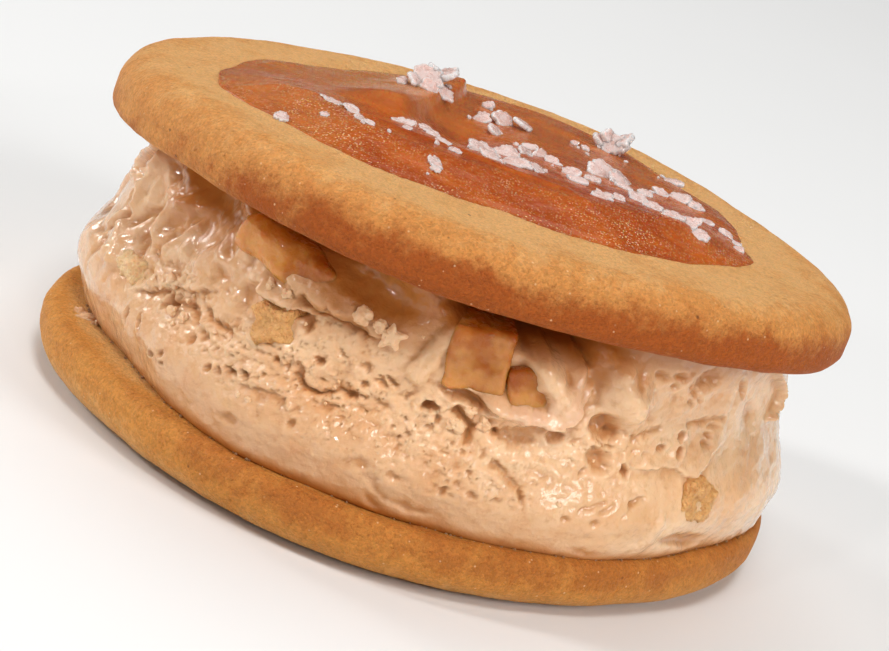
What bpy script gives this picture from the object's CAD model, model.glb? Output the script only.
"""Ice cream sandwich: the looks of its cookies, caramel, ice cream and toppings.

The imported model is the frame. Lengths in the tables below are millimetres, and MM
turns them into Blender's metres. A place on the side of the ice cream is given as
(along, up): along runs round the side from the front, plus to the right, and up is
the height over the surface that the sandwich stands on. A place on the top cookie
is (x, y) in the cookie's own tilted frame.
"""

import logging
import math
from dataclasses import dataclass
from enum import Enum
from typing import Iterable, Sequence

import bmesh
import bpy
import numpy as np
from mathutils import Euler, Matrix, Vector, noise


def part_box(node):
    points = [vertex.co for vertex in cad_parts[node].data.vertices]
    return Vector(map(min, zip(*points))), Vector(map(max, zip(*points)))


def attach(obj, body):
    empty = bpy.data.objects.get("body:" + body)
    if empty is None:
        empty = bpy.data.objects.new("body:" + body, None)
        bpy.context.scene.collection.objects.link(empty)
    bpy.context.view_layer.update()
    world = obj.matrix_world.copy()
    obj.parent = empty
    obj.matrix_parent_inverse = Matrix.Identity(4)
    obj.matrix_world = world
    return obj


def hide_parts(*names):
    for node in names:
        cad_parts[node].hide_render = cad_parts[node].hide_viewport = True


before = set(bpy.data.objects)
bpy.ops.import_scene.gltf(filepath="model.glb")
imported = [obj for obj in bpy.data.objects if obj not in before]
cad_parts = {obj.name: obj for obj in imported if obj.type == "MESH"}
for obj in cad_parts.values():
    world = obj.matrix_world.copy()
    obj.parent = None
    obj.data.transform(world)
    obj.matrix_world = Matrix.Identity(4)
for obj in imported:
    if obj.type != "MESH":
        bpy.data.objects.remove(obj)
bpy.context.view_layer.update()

LOG = logging.getLogger("ice_cream_sandwich")

MM = 0.001
BODY = "root"
SIDE_RADIUS = 40.0
FRONT_ANGLE = -math.pi / 2

Colour = tuple[float, float, float]
Place = tuple[float, float]


# ---------------------------------------------------------------- small tools


def smooth_step(value: np.ndarray) -> np.ndarray:
    """Ease from 0 to 1 as the values go from 0 to 1."""
    held = np.clip(value, 0.0, 1.0)
    return held * held * (3.0 - 2.0 * held)


def blob(x: np.ndarray, y: np.ndarray, wide: float, tall: float) -> np.ndarray:
    """A smooth hill of height 1 at the origin that fades over wide and tall."""
    return np.exp(-((x / wide) ** 2) - (y / tall) ** 2)


def fractal(points: np.ndarray, length: float, octaves: int = 3, seed: float = 0.0) -> np.ndarray:
    """Layered noise of about -1 to 1.

    Args:
        points: Places in millimetres, one row each.
        length: Size of the largest lumps, in millimetres.
        octaves: Number of finer layers.
        seed: Moves the pattern.

    Returns:
        One value for each point.
    """
    scaled = points / length + seed
    return np.array([noise.fractal(p, 0.9, 2.1, octaves) for p in scaled.tolist()])


def pushes(points: np.ndarray, length: float, seed: float = 0.0) -> np.ndarray:
    """Smooth pushes of about -1 to 1 along each axis.

    Args:
        points: Places in millimetres, one row each.
        length: Size of the lumps that they make, in millimetres.
        seed: Moves the pattern.

    Returns:
        One push for each point.
    """
    scaled = points / length + seed
    patterns = [(scaled + shift).tolist() for shift in ((0, 0, 0), (17.3, 0, 0), (0, 29.1, 0))]
    return np.stack([[noise.noise(p) for p in pattern] for pattern in patterns], axis=1)


def cells(points: np.ndarray, length: float, seed: float = 0.0) -> tuple[np.ndarray, np.ndarray]:
    """Distance to the nearest cell middle, and a fixed random share for each cell.

    Args:
        points: Places in millimetres, one row each.
        length: Size of a cell, in millimetres.
        seed: Moves the pattern.

    Returns:
        The distances in cell sizes, and the cells' random shares from 0 to 1.
    """
    scaled = points / length + seed
    distance = np.empty(len(points))
    share = np.empty(len(points))
    for index, point in enumerate(scaled.tolist()):
        found, middles = noise.voronoi(point)
        distance[index] = found[0]
        share[index] = noise.cell(middles[0] * 7.3)
    return distance, share * 0.5 + 0.5


def line_distance(
    x: np.ndarray, y: np.ndarray, route: Sequence[Place]
) -> tuple[np.ndarray, np.ndarray]:
    """Distance from points to a broken line, and which side of it they are on.

    Args:
        x: First coordinates.
        y: Second coordinates.
        route: The line's points, from left to right.

    Returns:
        The distances, and 1 for points over the line or -1 for points under it.
    """
    nearest = np.full(x.shape, np.inf)
    side = np.ones(x.shape)
    for (ax, ay), (bx, by) in zip(route, route[1:]):
        run_x, run_y = bx - ax, by - ay
        length_squared = run_x * run_x + run_y * run_y
        share = np.clip(((x - ax) * run_x + (y - ay) * run_y) / length_squared, 0.0, 1.0)
        gap_x = x - ax - share * run_x
        gap_y = y - ay - share * run_y
        distance = np.hypot(gap_x, gap_y)
        closer = distance < nearest
        nearest = np.where(closer, distance, nearest)
        over = np.where(run_x * gap_y - run_y * gap_x >= 0, 1.0, -1.0)
        side = np.where(closer, over, side)
    return nearest, side


@dataclass(frozen=True)
class Wave:
    """One lobed unevenness of a round outline."""

    lobes: int
    size: float
    phase: float


def wave_sum(waves: Iterable[Wave], angle: np.ndarray) -> np.ndarray:
    """Add up waves at angles in radians."""
    return sum(w.size * np.cos(w.lobes * angle - math.radians(w.phase)) for w in waves)


def rolled(profile: Sequence[Place], columns: int) -> bmesh.types.BMesh:
    """Roll a grid round the upright axis into a closed turned body.

    Args:
        profile: (radius, height) points in millimetres from the lower pole up.
        columns: Number of steps round the axis.

    Returns:
        The turned body, in millimetres.
    """
    bm = bmesh.new()
    bmesh.ops.create_grid(bm, x_segments=columns, y_segments=len(profile) - 1, size=1.0)
    grid = get_points(bm)
    turn = (grid[:, 0] + 1.0) / 2.0
    ring = np.rint((grid[:, 1] + 1.0) / 2.0 * (len(profile) - 1)).astype(int)
    section = np.array(profile)[ring]
    angle = turn * math.tau
    points = [section[:, 0] * np.cos(angle), section[:, 0] * np.sin(angle), section[:, 1]]
    set_points(bm, np.stack(points, axis=1))
    bmesh.ops.remove_doubles(bm, verts=bm.verts, dist=1e-4)
    bmesh.ops.recalc_face_normals(bm, faces=bm.faces)
    return bm


def get_points(bm: bmesh.types.BMesh) -> np.ndarray:
    """The body's vertices, one row each."""
    return np.array([v.co[:] for v in bm.verts], float)


def set_points(bm: bmesh.types.BMesh, points: np.ndarray) -> None:
    """Move the body's vertices to the rows of points."""
    for vertex, place in zip(bm.verts, points.tolist()):
        vertex.co = place


def add_attribute(bm: bmesh.types.BMesh, name: str, values: np.ndarray) -> None:
    """Keep one number for each vertex, for a finish to read.

    Args:
        bm: The body.
        name: Name that the finish reads it by.
        values: One number for each vertex.
    """
    layer = bm.verts.layers.float.get(name) or bm.verts.layers.float.new(name)
    for vertex, value in zip(bm.verts, values.tolist()):
        vertex[layer] = value


def finish_piece(
    name: str,
    bm: bmesh.types.BMesh,
    material: bpy.types.Material,
    stands_for: Sequence[str] = (),
) -> bpy.types.Object:
    """Turn a body in millimetres into a smooth piece that rides on the sandwich.

    Args:
        name: The piece's name.
        bm: Its body, in millimetres, in the sandwich's own frame.
        material: Its finish.
        stands_for: The nodes that it is shown instead of.

    Returns:
        The piece.
    """
    bmesh.ops.scale(bm, vec=(MM, MM, MM), verts=bm.verts)
    mesh = bpy.data.meshes.new(name)
    bm.to_mesh(mesh)
    bm.free()
    mesh.shade_smooth()
    mesh.materials.append(material)
    piece = bpy.data.objects.new(name, mesh)
    bpy.context.scene.collection.objects.link(piece)
    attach(piece, BODY)
    if stands_for:
        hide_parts(*stands_for)
    LOG.info("%s: %d faces", name, len(mesh.polygons))
    return piece


def sunk_below(bm: bmesh.types.BMesh, relief: np.ndarray, rounds: int) -> np.ndarray:
    """Work out how far each vertex lies below its surroundings.

    Args:
        bm: The body, for its edges.
        relief: Height of each vertex, in its order.
        rounds: How many neighbours away the surroundings reach.

    Returns:
        Depth below the smoothed relief, negative on ridges.
    """
    bm.verts.index_update()
    ends = np.array([(edge.verts[0].index, edge.verts[1].index) for edge in bm.edges])
    first, second = ends[:, 0], ends[:, 1]
    total = len(relief)
    neighbours = np.bincount(ends.ravel(), minlength=total)
    smooth = relief.copy()
    for _ in range(rounds):
        around = np.bincount(first, smooth[second], total) + np.bincount(second, smooth[first], total)
        smooth = around / neighbours
    return smooth - relief


def join(bodies: Iterable[bmesh.types.BMesh]) -> bmesh.types.BMesh:
    """Put several bodies into one, and free them.

    Args:
        bodies: The bodies.

    Returns:
        One body with all of them.
    """
    joined = bmesh.new()
    for body in bodies:
        mesh = bpy.data.meshes.new("joining")
        body.to_mesh(mesh)
        body.free()
        joined.from_mesh(mesh)
        bpy.data.meshes.remove(mesh)
    return joined


# ---------------------------------------------------------------- materials


class Bench:
    """Lays out the nodes of one material."""

    def __init__(self, name: str) -> None:
        """Start a material with an empty Principled shader.

        Args:
            name: The material's name.
        """
        self.material = bpy.data.materials.new(name)
        self.material.use_nodes = True
        self.tree = self.material.node_tree
        self.shader = self.tree.nodes["Principled BSDF"]
        self.place = self.node("ShaderNodeTexCoord").outputs["Object"]

    def node(self, kind: str, **settings: object) -> bpy.types.Node:
        """Add a node and set its own settings.

        Args:
            kind: The node's type.
            settings: Values for its own settings.

        Returns:
            The node.
        """
        made = self.tree.nodes.new(kind)
        for key, value in settings.items():
            setattr(made, key, value)
        return made

    def feed(self, socket: bpy.types.NodeSocket, value: object) -> None:
        """Link a socket to an output, or set its value.

        Args:
            socket: The input to feed.
            value: An output, a colour or a number.
        """
        if isinstance(value, bpy.types.NodeSocket):
            self.tree.links.new(value, socket)
        elif isinstance(value, tuple) and len(value) == 3 and socket.type == "RGBA":
            socket.default_value = (*value, 1.0)
        else:
            socket.default_value = value

    def noise(
        self, length: float, detail: float = 3.0, rough: float = 0.55, warp: float = 0.0
    ) -> bpy.types.NodeSocket:
        """Layered noise from 0 to 1 with lumps of a length in millimetres.

        Args:
            length: Size of the largest lumps.
            detail: Number of finer layers.
            rough: Share that each finer layer keeps.
            warp: How far the pattern twists itself.

        Returns:
            The noise.
        """
        made = self.node("ShaderNodeTexNoise")
        self.feed(made.inputs["Vector"], self.place)
        self.feed(made.inputs["Scale"], 1.0 / (length * MM))
        self.feed(made.inputs["Detail"], detail)
        self.feed(made.inputs["Roughness"], rough)
        self.feed(made.inputs["Distortion"], warp)
        return made.outputs["Fac"]

    def grains(self, length: float) -> tuple[bpy.types.NodeSocket, bpy.types.NodeSocket]:
        """Distance to a grain's middle in grain sizes, and a random colour for each.

        Args:
            length: Size of a grain in millimetres.

        Returns:
            The distance and the colour.
        """
        made = self.node("ShaderNodeTexVoronoi", feature="F1")
        self.feed(made.inputs["Vector"], self.place)
        self.feed(made.inputs["Scale"], 1.0 / (length * MM))
        return made.outputs["Distance"], made.outputs["Color"]

    def attribute(self, name: str) -> bpy.types.NodeSocket:
        """A number kept on the mesh."""
        return self.node("ShaderNodeAttribute", attribute_name=name).outputs["Fac"]

    def ramp(
        self, value: bpy.types.NodeSocket, low: float, high: float, start: float = 0.0, end: float = 1.0
    ) -> bpy.types.NodeSocket:
        """Ease a value from start to end as it goes from low to high.

        Args:
            value: The value.
            low: Where it starts to change.
            high: Where it has changed.
            start: Result at and under low.
            end: Result at and over high.

        Returns:
            The eased value.
        """
        made = self.node("ShaderNodeMapRange", interpolation_type="SMOOTHSTEP")
        self.feed(made.inputs["Value"], value)
        self.feed(made.inputs["From Min"], low)
        self.feed(made.inputs["From Max"], high)
        self.feed(made.inputs["To Min"], start)
        self.feed(made.inputs["To Max"], end)
        return made.outputs["Result"]

    def math(self, operation: str, *values: object) -> bpy.types.NodeSocket:
        """Combine values with a Math node.

        Args:
            operation: The node's operation.
            values: Outputs or numbers.

        Returns:
            The result.
        """
        made = self.node("ShaderNodeMath", operation=operation)
        for socket, value in zip(made.inputs, values):
            self.feed(socket, value)
        return made.outputs[0]

    def mix(self, share: object, first: object, second: object, blend: str = "MIX") -> bpy.types.NodeSocket:
        """Blend two colours.

        Args:
            share: How much of the second colour is shown.
            first: The first colour.
            second: The second colour.
            blend: The way they are blended.

        Returns:
            The blended colour.
        """
        made = self.node("ShaderNodeMix", data_type="RGBA", blend_type=blend)
        self.feed(made.inputs["Factor"], share)
        self.feed(made.inputs[6], first)
        self.feed(made.inputs[7], second)
        return made.outputs[2]

    def bump(
        self, height: bpy.types.NodeSocket, size: float, after: bpy.types.NodeSocket | None = None
    ) -> bpy.types.NodeSocket:
        """Raise the surface by a size in millimetres where height is 1.

        Args:
            height: Height from 0 to 1.
            size: The size.
            after: Relief that it is added to.

        Returns:
            The raised normal.
        """
        made = self.node("ShaderNodeBump")
        self.feed(made.inputs["Strength"], 1.0)
        self.feed(made.inputs["Distance"], size * MM)
        self.feed(made.inputs["Height"], height)
        if after is not None:
            self.feed(made.inputs["Normal"], after)
        return made.outputs["Normal"]

    def split(self, colour: bpy.types.NodeSocket) -> bpy.types.NodeSocket:
        """The first channel of a random colour, as a number.

        Args:
            colour: The colour.

        Returns:
            The number, from 0 to 1.
        """
        made = self.node("ShaderNodeSeparateColor")
        self.feed(made.inputs["Color"], colour)
        return made.outputs["Red"]

    def set(self, **sockets: object) -> None:
        """Set or link the shader's own sockets, named with underscores."""
        for key, value in sockets.items():
            self.feed(self.shader.inputs[key.replace("_", " ")], value)


@dataclass(frozen=True)
class CookieFinish:
    """Sandy butter cookie: pale gold where it is thick, browned where it is baked."""

    name: str
    pale: Colour
    gold: Colour
    brown: Colour
    olive: Colour = (0.47, 0.22, 0.06)
    sugar: Colour = (0.95, 0.66, 0.38)
    speck: Colour = (0.16, 0.05, 0.015)
    fleck: Colour = (0.36, 0.085, 0.012)
    grain_size: float = 0.26
    grain_height: float = 0.10

    def build(self) -> bpy.types.Material:
        """Make the cookie's material, which reads bake and low from the mesh.

        Returns:
            The material.
        """
        bench = Bench(self.name)
        blotch = bench.noise(5.0, 4.0, 0.6)
        mottle = bench.noise(1.1, 4.0, 0.65)
        bake = bench.math("ADD", bench.attribute("bake"), bench.ramp(blotch, 0.3, 0.7, -0.15, 0.15))
        bake = bench.math("ADD", bake, bench.ramp(mottle, 0.3, 0.7, -0.10, 0.10))
        colour = bench.mix(bench.ramp(bake, 0.0, 0.5), self.pale, self.gold)
        colour = bench.mix(bench.ramp(bake, 0.45, 1.0), colour, self.brown)
        fine = bench.noise(0.5, 5.0, 0.7)
        flecks = bench.math("MULTIPLY", bench.ramp(fine, 0.54, 0.68), bench.ramp(bake, 0.1, 0.9, 0.12, 0.6))
        colour = bench.mix(flecks, colour, self.fleck)
        colour = bench.mix(bench.attribute("low"), colour, self.olive)
        grain, tint = bench.grains(self.grain_size)
        shade = bench.ramp(bench.split(tint), 0.0, 1.0, 0.93, 1.20)
        shade_colour = bench.node("ShaderNodeCombineColor")
        for socket in shade_colour.inputs:
            bench.feed(socket, shade)
        colour = bench.mix(0.8, colour, shade_colour.outputs[0], "MULTIPLY")
        sugar, sugar_tint = bench.grains(0.9)
        chosen = bench.ramp(bench.split(sugar_tint), 0.74, 0.82)
        lit = bench.math("MULTIPLY", bench.ramp(sugar, 0.17, 0.07), chosen)
        colour = bench.mix(bench.math("MULTIPLY", lit, 0.6), colour, self.sugar)
        speck, speck_tint = bench.grains(3.1)
        chosen = bench.ramp(bench.split(speck_tint), 0.45, 0.5)
        dark = bench.math("MULTIPLY", bench.ramp(speck, 0.085, 0.035), chosen)
        colour = bench.mix(bench.math("MULTIPLY", dark, 0.75), colour, self.speck)
        normal = bench.bump(bench.ramp(grain, 0.75, 0.15), self.grain_height)
        normal = bench.bump(fine, 0.36, normal)
        normal = bench.bump(mottle, 0.22, normal)
        bench.set(
            Base_Color=colour,
            Roughness=bench.ramp(fine, 0.3, 0.7, 0.52, 0.72),
            Normal=normal,
            Subsurface_Weight=0.25,
            Subsurface_Radius=(1.0, 0.45, 0.2),
            Subsurface_Scale=0.7 * MM,
            Specular_IOR_Level=0.22,
        )
        return bench.material


@dataclass(frozen=True)
class CreamFinish:
    """Melting toffee ice cream: milky, wet on its ridges and warm in its hollows."""

    name: str = "melting_ice_cream"
    cream: Colour = (0.77, 0.455, 0.235)
    pale: Colour = (0.84, 0.565, 0.335)
    rosy: Colour = (0.81, 0.51, 0.33)
    warm: Colour = (0.50, 0.195, 0.045)
    amber: Colour = (0.47, 0.17, 0.034)
    dark: Colour = (0.16, 0.046, 0.012)
    milkiness: float = 0.35

    def build(self) -> bpy.types.Material:
        """Make the ice cream's material, reading hollow, melt, porous, pale and rosy.

        Returns:
            The material.
        """
        bench = Bench(self.name)
        cloud = bench.noise(6.5, 3.0, 0.5, 0.3)
        mottle = bench.noise(1.4, 4.0, 0.6)
        colour = bench.mix(bench.ramp(cloud, 0.35, 0.65), self.cream, self.pale)
        colour = bench.mix(bench.attribute("pale"), colour, self.pale)
        colour = bench.mix(bench.attribute("rosy"), colour, self.rosy)
        colour = bench.mix(bench.ramp(mottle, 0.52, 0.74, 0.0, 0.28), colour, self.amber)
        colour = bench.mix(bench.attribute("melt"), colour, self.amber)
        hollow = bench.attribute("hollow")
        colour = bench.mix(bench.ramp(hollow, 0.0, 1.0), colour, self.warm)
        colour = bench.mix(bench.ramp(hollow, 1.1, 2.0), colour, self.dark)
        fine = bench.noise(0.42, 4.0, 0.6)
        skin = bench.noise(2.4, 3.0, 0.5)
        bubble, tint = bench.grains(0.75)
        pore = bench.math(
            "MULTIPLY", bench.ramp(bubble, 0.26, 0.10), bench.ramp(bench.split(tint), 0.78, 0.84)
        )
        pore = bench.math("MULTIPLY", pore, bench.attribute("porous"))
        colour = bench.mix(bench.math("MULTIPLY", pore, 0.5), colour, self.warm)
        normal = bench.bump(fine, 0.08)
        normal = bench.bump(bench.math("MULTIPLY", pore, -1.0), 0.05, normal)
        normal = bench.bump(bench.noise(1.0, 3.0, 0.5), 0.16, normal)
        normal = bench.bump(skin, 0.16, normal)
        bench.set(
            Base_Color=colour,
            Roughness=bench.ramp(bench.math("ADD", skin, bench.attribute("porous")), 0.35, 1.2, 0.12, 0.36),
            Normal=normal,
            Subsurface_Weight=0.7,
            Subsurface_Radius=(1.0, 0.75, 0.55),
            Subsurface_Scale=self.milkiness * MM,
            IOR=1.38,
            Coat_Weight=0.6,
            Coat_Roughness=0.05,
            Coat_IOR=1.38,
        )
        return bench.material


@dataclass(frozen=True)
class CaramelFinish:
    """Soft caramel, glossy and amber, with tiny golden bubbles on its slopes."""

    name: str
    deep: Colour = (0.34, 0.055, 0.003)
    light: Colour = (0.46, 0.098, 0.007)
    gold: Colour = (1.0, 0.73, 0.45)
    film: Colour = (0.58, 0.265, 0.085)
    bubbles: bool = True
    wet: float = 0.0

    def build(self) -> bpy.types.Material:
        """Make the caramel's material, which reads bank and thin from the mesh.

        Returns:
            The material.
        """
        bench = Bench(self.name)
        swirl = bench.noise(7.0, 3.0, 0.5, 0.6)
        film = bench.noise(0.9, 3.0, 0.6)
        colour = bench.mix(bench.ramp(swirl, 0.35, 0.65), self.deep, self.light)
        colour = bench.mix(bench.attribute("thin"), colour, self.film)
        normal = bench.bump(film, 0.05 + 0.5 * self.wet)
        normal = bench.bump(bench.noise(2.6, 2.0, 0.5), 0.18 + 0.4 * self.wet, normal)
        if self.bubbles:
            bubble, tint = bench.grains(0.30)
            round_one = bench.ramp(bubble, 0.44, 0.26)
            lit = bench.math("MULTIPLY", round_one, bench.ramp(bench.split(tint), 0.25, 0.6))
            lit = bench.math("MULTIPLY", lit, bench.attribute("bank"))
            colour = bench.mix(bench.math("MULTIPLY", lit, 0.65), colour, self.gold)
            normal = bench.bump(lit, 0.07, normal)
        bench.set(
            Base_Color=colour,
            Roughness=bench.ramp(film, 0.3, 0.7, 0.18, 0.34),
            Normal=normal,
            Subsurface_Weight=0.8,
            Subsurface_Radius=(1.0, 0.32, 0.08),
            Subsurface_Scale=1.5 * MM,
            IOR=1.46,
            Specular_IOR_Level=0.22,
            Coat_Weight=self.wet,
            Coat_Roughness=0.06,
        )
        return bench.material


@dataclass(frozen=True)
class CrumbFinish:
    """Dry crumb: rough and sandy, in one of a few shades."""

    name: str
    light: Colour
    dark: Colour
    soft: float = 0.4

    def build(self) -> bpy.types.Material:
        """Make the crumb's material.

        Returns:
            The material.
        """
        bench = Bench(self.name)
        mottle = bench.noise(0.9, 4.0, 0.65)
        grain, tint = bench.grains(0.3)
        colour = bench.mix(bench.ramp(mottle, 0.3, 0.7), self.dark, self.light)
        colour = bench.mix(bench.ramp(bench.split(tint), 0.2, 1.0, 0.0, 0.35), colour, self.light)
        normal = bench.bump(bench.ramp(grain, 0.7, 0.1), 0.12)
        normal = bench.bump(bench.noise(0.6, 4.0, 0.7), 0.3, normal)
        bench.set(
            Base_Color=colour,
            Roughness=bench.ramp(mottle, 0.3, 0.7, 0.4, 0.62),
            Normal=normal,
            Subsurface_Weight=self.soft,
            Subsurface_Radius=(1.0, 0.5, 0.25),
            Subsurface_Scale=0.7 * MM,
        )
        return bench.material


@dataclass(frozen=True)
class SaltFinish:
    """Flaky sea salt: clear plates with frosted faces and bright edges."""

    name: str = "salt_flake"
    frost: Colour = (0.90, 0.73, 0.69)
    rosy: Colour = (0.82, 0.56, 0.49)

    def build(self) -> bpy.types.Material:
        """Make the salt's material, which reads edge from the mesh.

        Returns:
            The material.
        """
        bench = Bench(self.name)
        cloud = bench.noise(0.8, 3.0, 0.6)
        colour = bench.mix(bench.ramp(cloud, 0.3, 0.7), self.rosy, self.frost)
        colour = bench.mix(bench.attribute("edge"), colour, (1.0, 0.96, 0.95))
        bench.set(
            Base_Color=colour,
            Roughness=bench.ramp(cloud, 0.3, 0.7, 0.16, 0.42),
            Normal=bench.bump(bench.noise(0.5, 3.0, 0.6), 0.12),
            Transmission_Weight=0.3,
            Subsurface_Weight=0.75,
            Subsurface_Radius=(1.0, 0.9, 0.85),
            Subsurface_Scale=0.35 * MM,
            IOR=1.54,
        )
        return bench.material


# ---------------------------------------------------------------- the stack


@dataclass(frozen=True)
class Stack:
    """Where the layers are, in millimetres, and how the top cookie sits."""

    place: tuple[float, float, float] = (-0.16, 1.44, 0.0)
    cookie_radius: float = 42.5
    cookie_thickness: float = 7.0
    filling_height: float = 23.0
    gap: float = 0.3
    top_shift: Place = (0.8, -3.0)
    top_tilt: tuple[float, float, float] = (-2.8, 0.9, 0.0)
    top_warp: tuple[Wave, ...] = (
        Wave(2, 0.57, 180),
        Wave(3, 0.37, -74),
        Wave(4, 0.13, -125),
        Wave(5, 0.13, 47),
    )

    @property
    def seat(self) -> Vector:
        """The middle of the top cookie's underside, in the stack's frame."""
        return Vector((*self.top_shift, self.cookie_thickness + self.filling_height))

    @property
    def tilt(self) -> Matrix:
        """The top cookie's tilt."""
        return Euler([math.radians(turn) for turn in self.top_tilt]).to_matrix()

    def top_matrix(self) -> Matrix:
        """From the top cookie's own frame to the sandwich's frame."""
        return Matrix.Translation(Vector(self.place) + self.seat) @ self.tilt.to_4x4()

    def warp(self, x: np.ndarray, y: np.ndarray) -> np.ndarray:
        """Height that the top cookie's warp adds at a point in its own frame."""
        share = np.hypot(x, y) / self.cookie_radius
        return share * share * wave_sum(self.top_warp, np.arctan2(y, x))

    def ceiling(self, x: np.ndarray, y: np.ndarray) -> np.ndarray:
        """Height of the top cookie's underside over points of the stack.

        Args:
            x: First coordinates.
            y: Second coordinates.

        Returns:
            The heights.
        """
        normal = self.tilt @ Vector((0, 0, 1))
        seat = self.seat
        drop = ((x - seat.x) * normal.x + (y - seat.y) * normal.y) / normal.z
        return seat.z - drop + self.warp(x - seat.x, y - seat.y)


STACK = Stack()


# ---------------------------------------------------------------- cookies


class Side(Enum):
    """Which way up a cookie lies."""

    BAKED_UP = "baked side up"
    FLIPPED = "flat side up"


@dataclass
class Cookie:
    """A round butter cookie, turned from a section and made uneven."""

    name: str
    node: str
    side: Side
    edge: tuple[Wave, ...]
    low_rounding: Place
    high_rounding: Place
    crown: float
    finish: CookieFinish
    slot: str
    radius: float = STACK.cookie_radius
    thickness: float = STACK.cookie_thickness
    columns: int = 640
    ring_step: float = 0.42
    arc_steps: int = 16
    lump_length: float = 7.0
    lump_height: float = 0.15
    sand_length: float = 0.9
    sandy: float = 0.03
    dimple_spacing: float = 2.3
    dimple_rarity: float = 0.72
    dimple_reach: float = 0.34
    dimple: float = 0.10
    browning_reach: float = 9.0
    side_reach: float = 5.0

    def profile(self) -> list[Place]:
        """Half section from the middle underneath to the middle on top.

        Returns:
            (radius, height) points.
        """
        flat_low = self.radius - self.low_rounding[0]
        flat_high = self.radius - self.high_rounding[0]
        points = [(0.0, 0.0)]
        points += self.flat(flat_low, 0.0, rising=True)
        for step in range(1, self.arc_steps + 1):
            turn = math.radians(90 * step / self.arc_steps)
            width, height = self.low_rounding
            points.append((flat_low + width * math.sin(turn), height * (1 - math.cos(turn))))
        straight = self.thickness - self.low_rounding[1] - self.high_rounding[1]
        rows = max(int(straight / self.ring_step), 1)
        for row in range(1, rows):
            points.append((self.radius, self.low_rounding[1] + straight * row / rows))
        for step in range(self.arc_steps):
            turn = math.radians(90 * step / self.arc_steps)
            width, height = self.high_rounding
            side = flat_high + width * math.cos(turn)
            points.append((side, self.thickness - height * (1 - math.sin(turn))))
        points += self.flat(flat_high, self.thickness, rising=False)
        points.append((0.0, self.thickness + self.crown))
        return points

    def flat(self, reach: float, height: float, rising: bool) -> list[Place]:
        """Rings of a flat face: close together near the edge and wide in the middle.

        Args:
            reach: Radius of the flat face.
            height: Its height, 0 for the lower one.
            rising: Whether the radii grow from ring to ring.

        Returns:
            (radius, height) points.
        """
        rings = []
        radius = reach
        step = self.ring_step
        while radius > 1.5:
            lift = self.crown * (1 - (radius / reach) ** 2) if height else 0.0
            rings.append((radius, height + lift))
            radius -= step
            if radius < reach * 0.62:
                step = min(step * 1.35, 5.0)
        return rings[::-1] if rising else rings

    def relief(self, points: np.ndarray) -> np.ndarray:
        """How far the baked surface stands out from the turned one.

        Args:
            points: Points of the turned surface.

        Returns:
            One distance for each point.
        """
        lumps = fractal(points, self.lump_length, 2, 11.3) * self.lump_height
        sand = fractal(points, self.sand_length, 3, 3.7) * self.sandy
        distance, share = cells(points, self.dimple_spacing, 5.1)
        sunk = smooth_step((self.dimple_reach - distance) / 0.22)
        dimples = np.where(share > self.dimple_rarity, sunk, 0.0)
        return lumps + sand - dimples * self.dimple

    def bake(self, points: np.ndarray) -> tuple[np.ndarray, np.ndarray]:
        """How brown each point is, and how olive its lower side is.

        Args:
            points: Points of the turned surface.

        Returns:
            The brownness and the olive share of each point.
        """
        radius = np.hypot(points[:, 0], points[:, 1])
        level = points[:, 2] / self.thickness
        out = smooth_step((radius - self.radius + self.browning_reach) / self.browning_reach)
        low_side = smooth_step((radius - self.radius + self.side_reach) / 4.0)
        paler = smooth_step((-points[:, 0] / self.radius - 0.25) / 0.55)
        if self.side is Side.BAKED_UP:
            down = smooth_step((1.03 - level) / 0.85)
            brown = 0.06 + 0.26 * out + (0.75 - 0.48 * paler) * down * low_side
            under = (level < 0.15) & (radius < self.radius - 2.0)
            brown = np.where(under, 0.62, brown)
            olive = np.zeros(len(points))
        else:
            up = smooth_step((level - 0.2) / 0.6)
            brown = 0.30 + 0.12 * out + 0.45 * up * low_side - 0.34 * paler
            olive = 0.45 * smooth_step((0.42 - level) / 0.4) * low_side
        return brown, olive

    def body(self) -> bmesh.types.BMesh:
        """The cookie in its own frame, in millimetres.

        Returns:
            The body, with its bake and low attributes.
        """
        bm = rolled(self.profile(), self.columns)
        points = get_points(bm)
        brown, olive = self.bake(points)
        add_attribute(bm, "bake", brown)
        add_attribute(bm, "low", olive)
        angle = np.arctan2(points[:, 1], points[:, 0])
        stretch = 1 + wave_sum(self.edge, angle) / self.radius
        points[:, 0] *= stretch
        points[:, 1] *= stretch
        bm.normal_update()
        normals = np.array([v.normal[:] for v in bm.verts])
        points += normals * self.relief(points)[:, None]
        set_points(bm, points)
        return bm


@dataclass
class BottomCookie(Cookie):
    """The lower cookie, upside down, resting on its flattened middle."""

    def build(self) -> bpy.types.Object:
        """Make the lower cookie.

        Returns:
            The piece.
        """
        bm = self.body()
        points = get_points(bm)
        resting = np.hypot(points[:, 0], points[:, 1]) < self.radius - self.low_rounding[0]
        under = resting & (points[:, 2] < 1.0)
        points[under, 2] = np.clip(points[under, 2], 0.0, 0.05)
        points[:, 2] = np.maximum(points[:, 2], 0.0)
        points += np.array(STACK.place)
        set_points(bm, points)
        return finish_piece(self.name, bm, self.finish.build(), [self.node])


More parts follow.
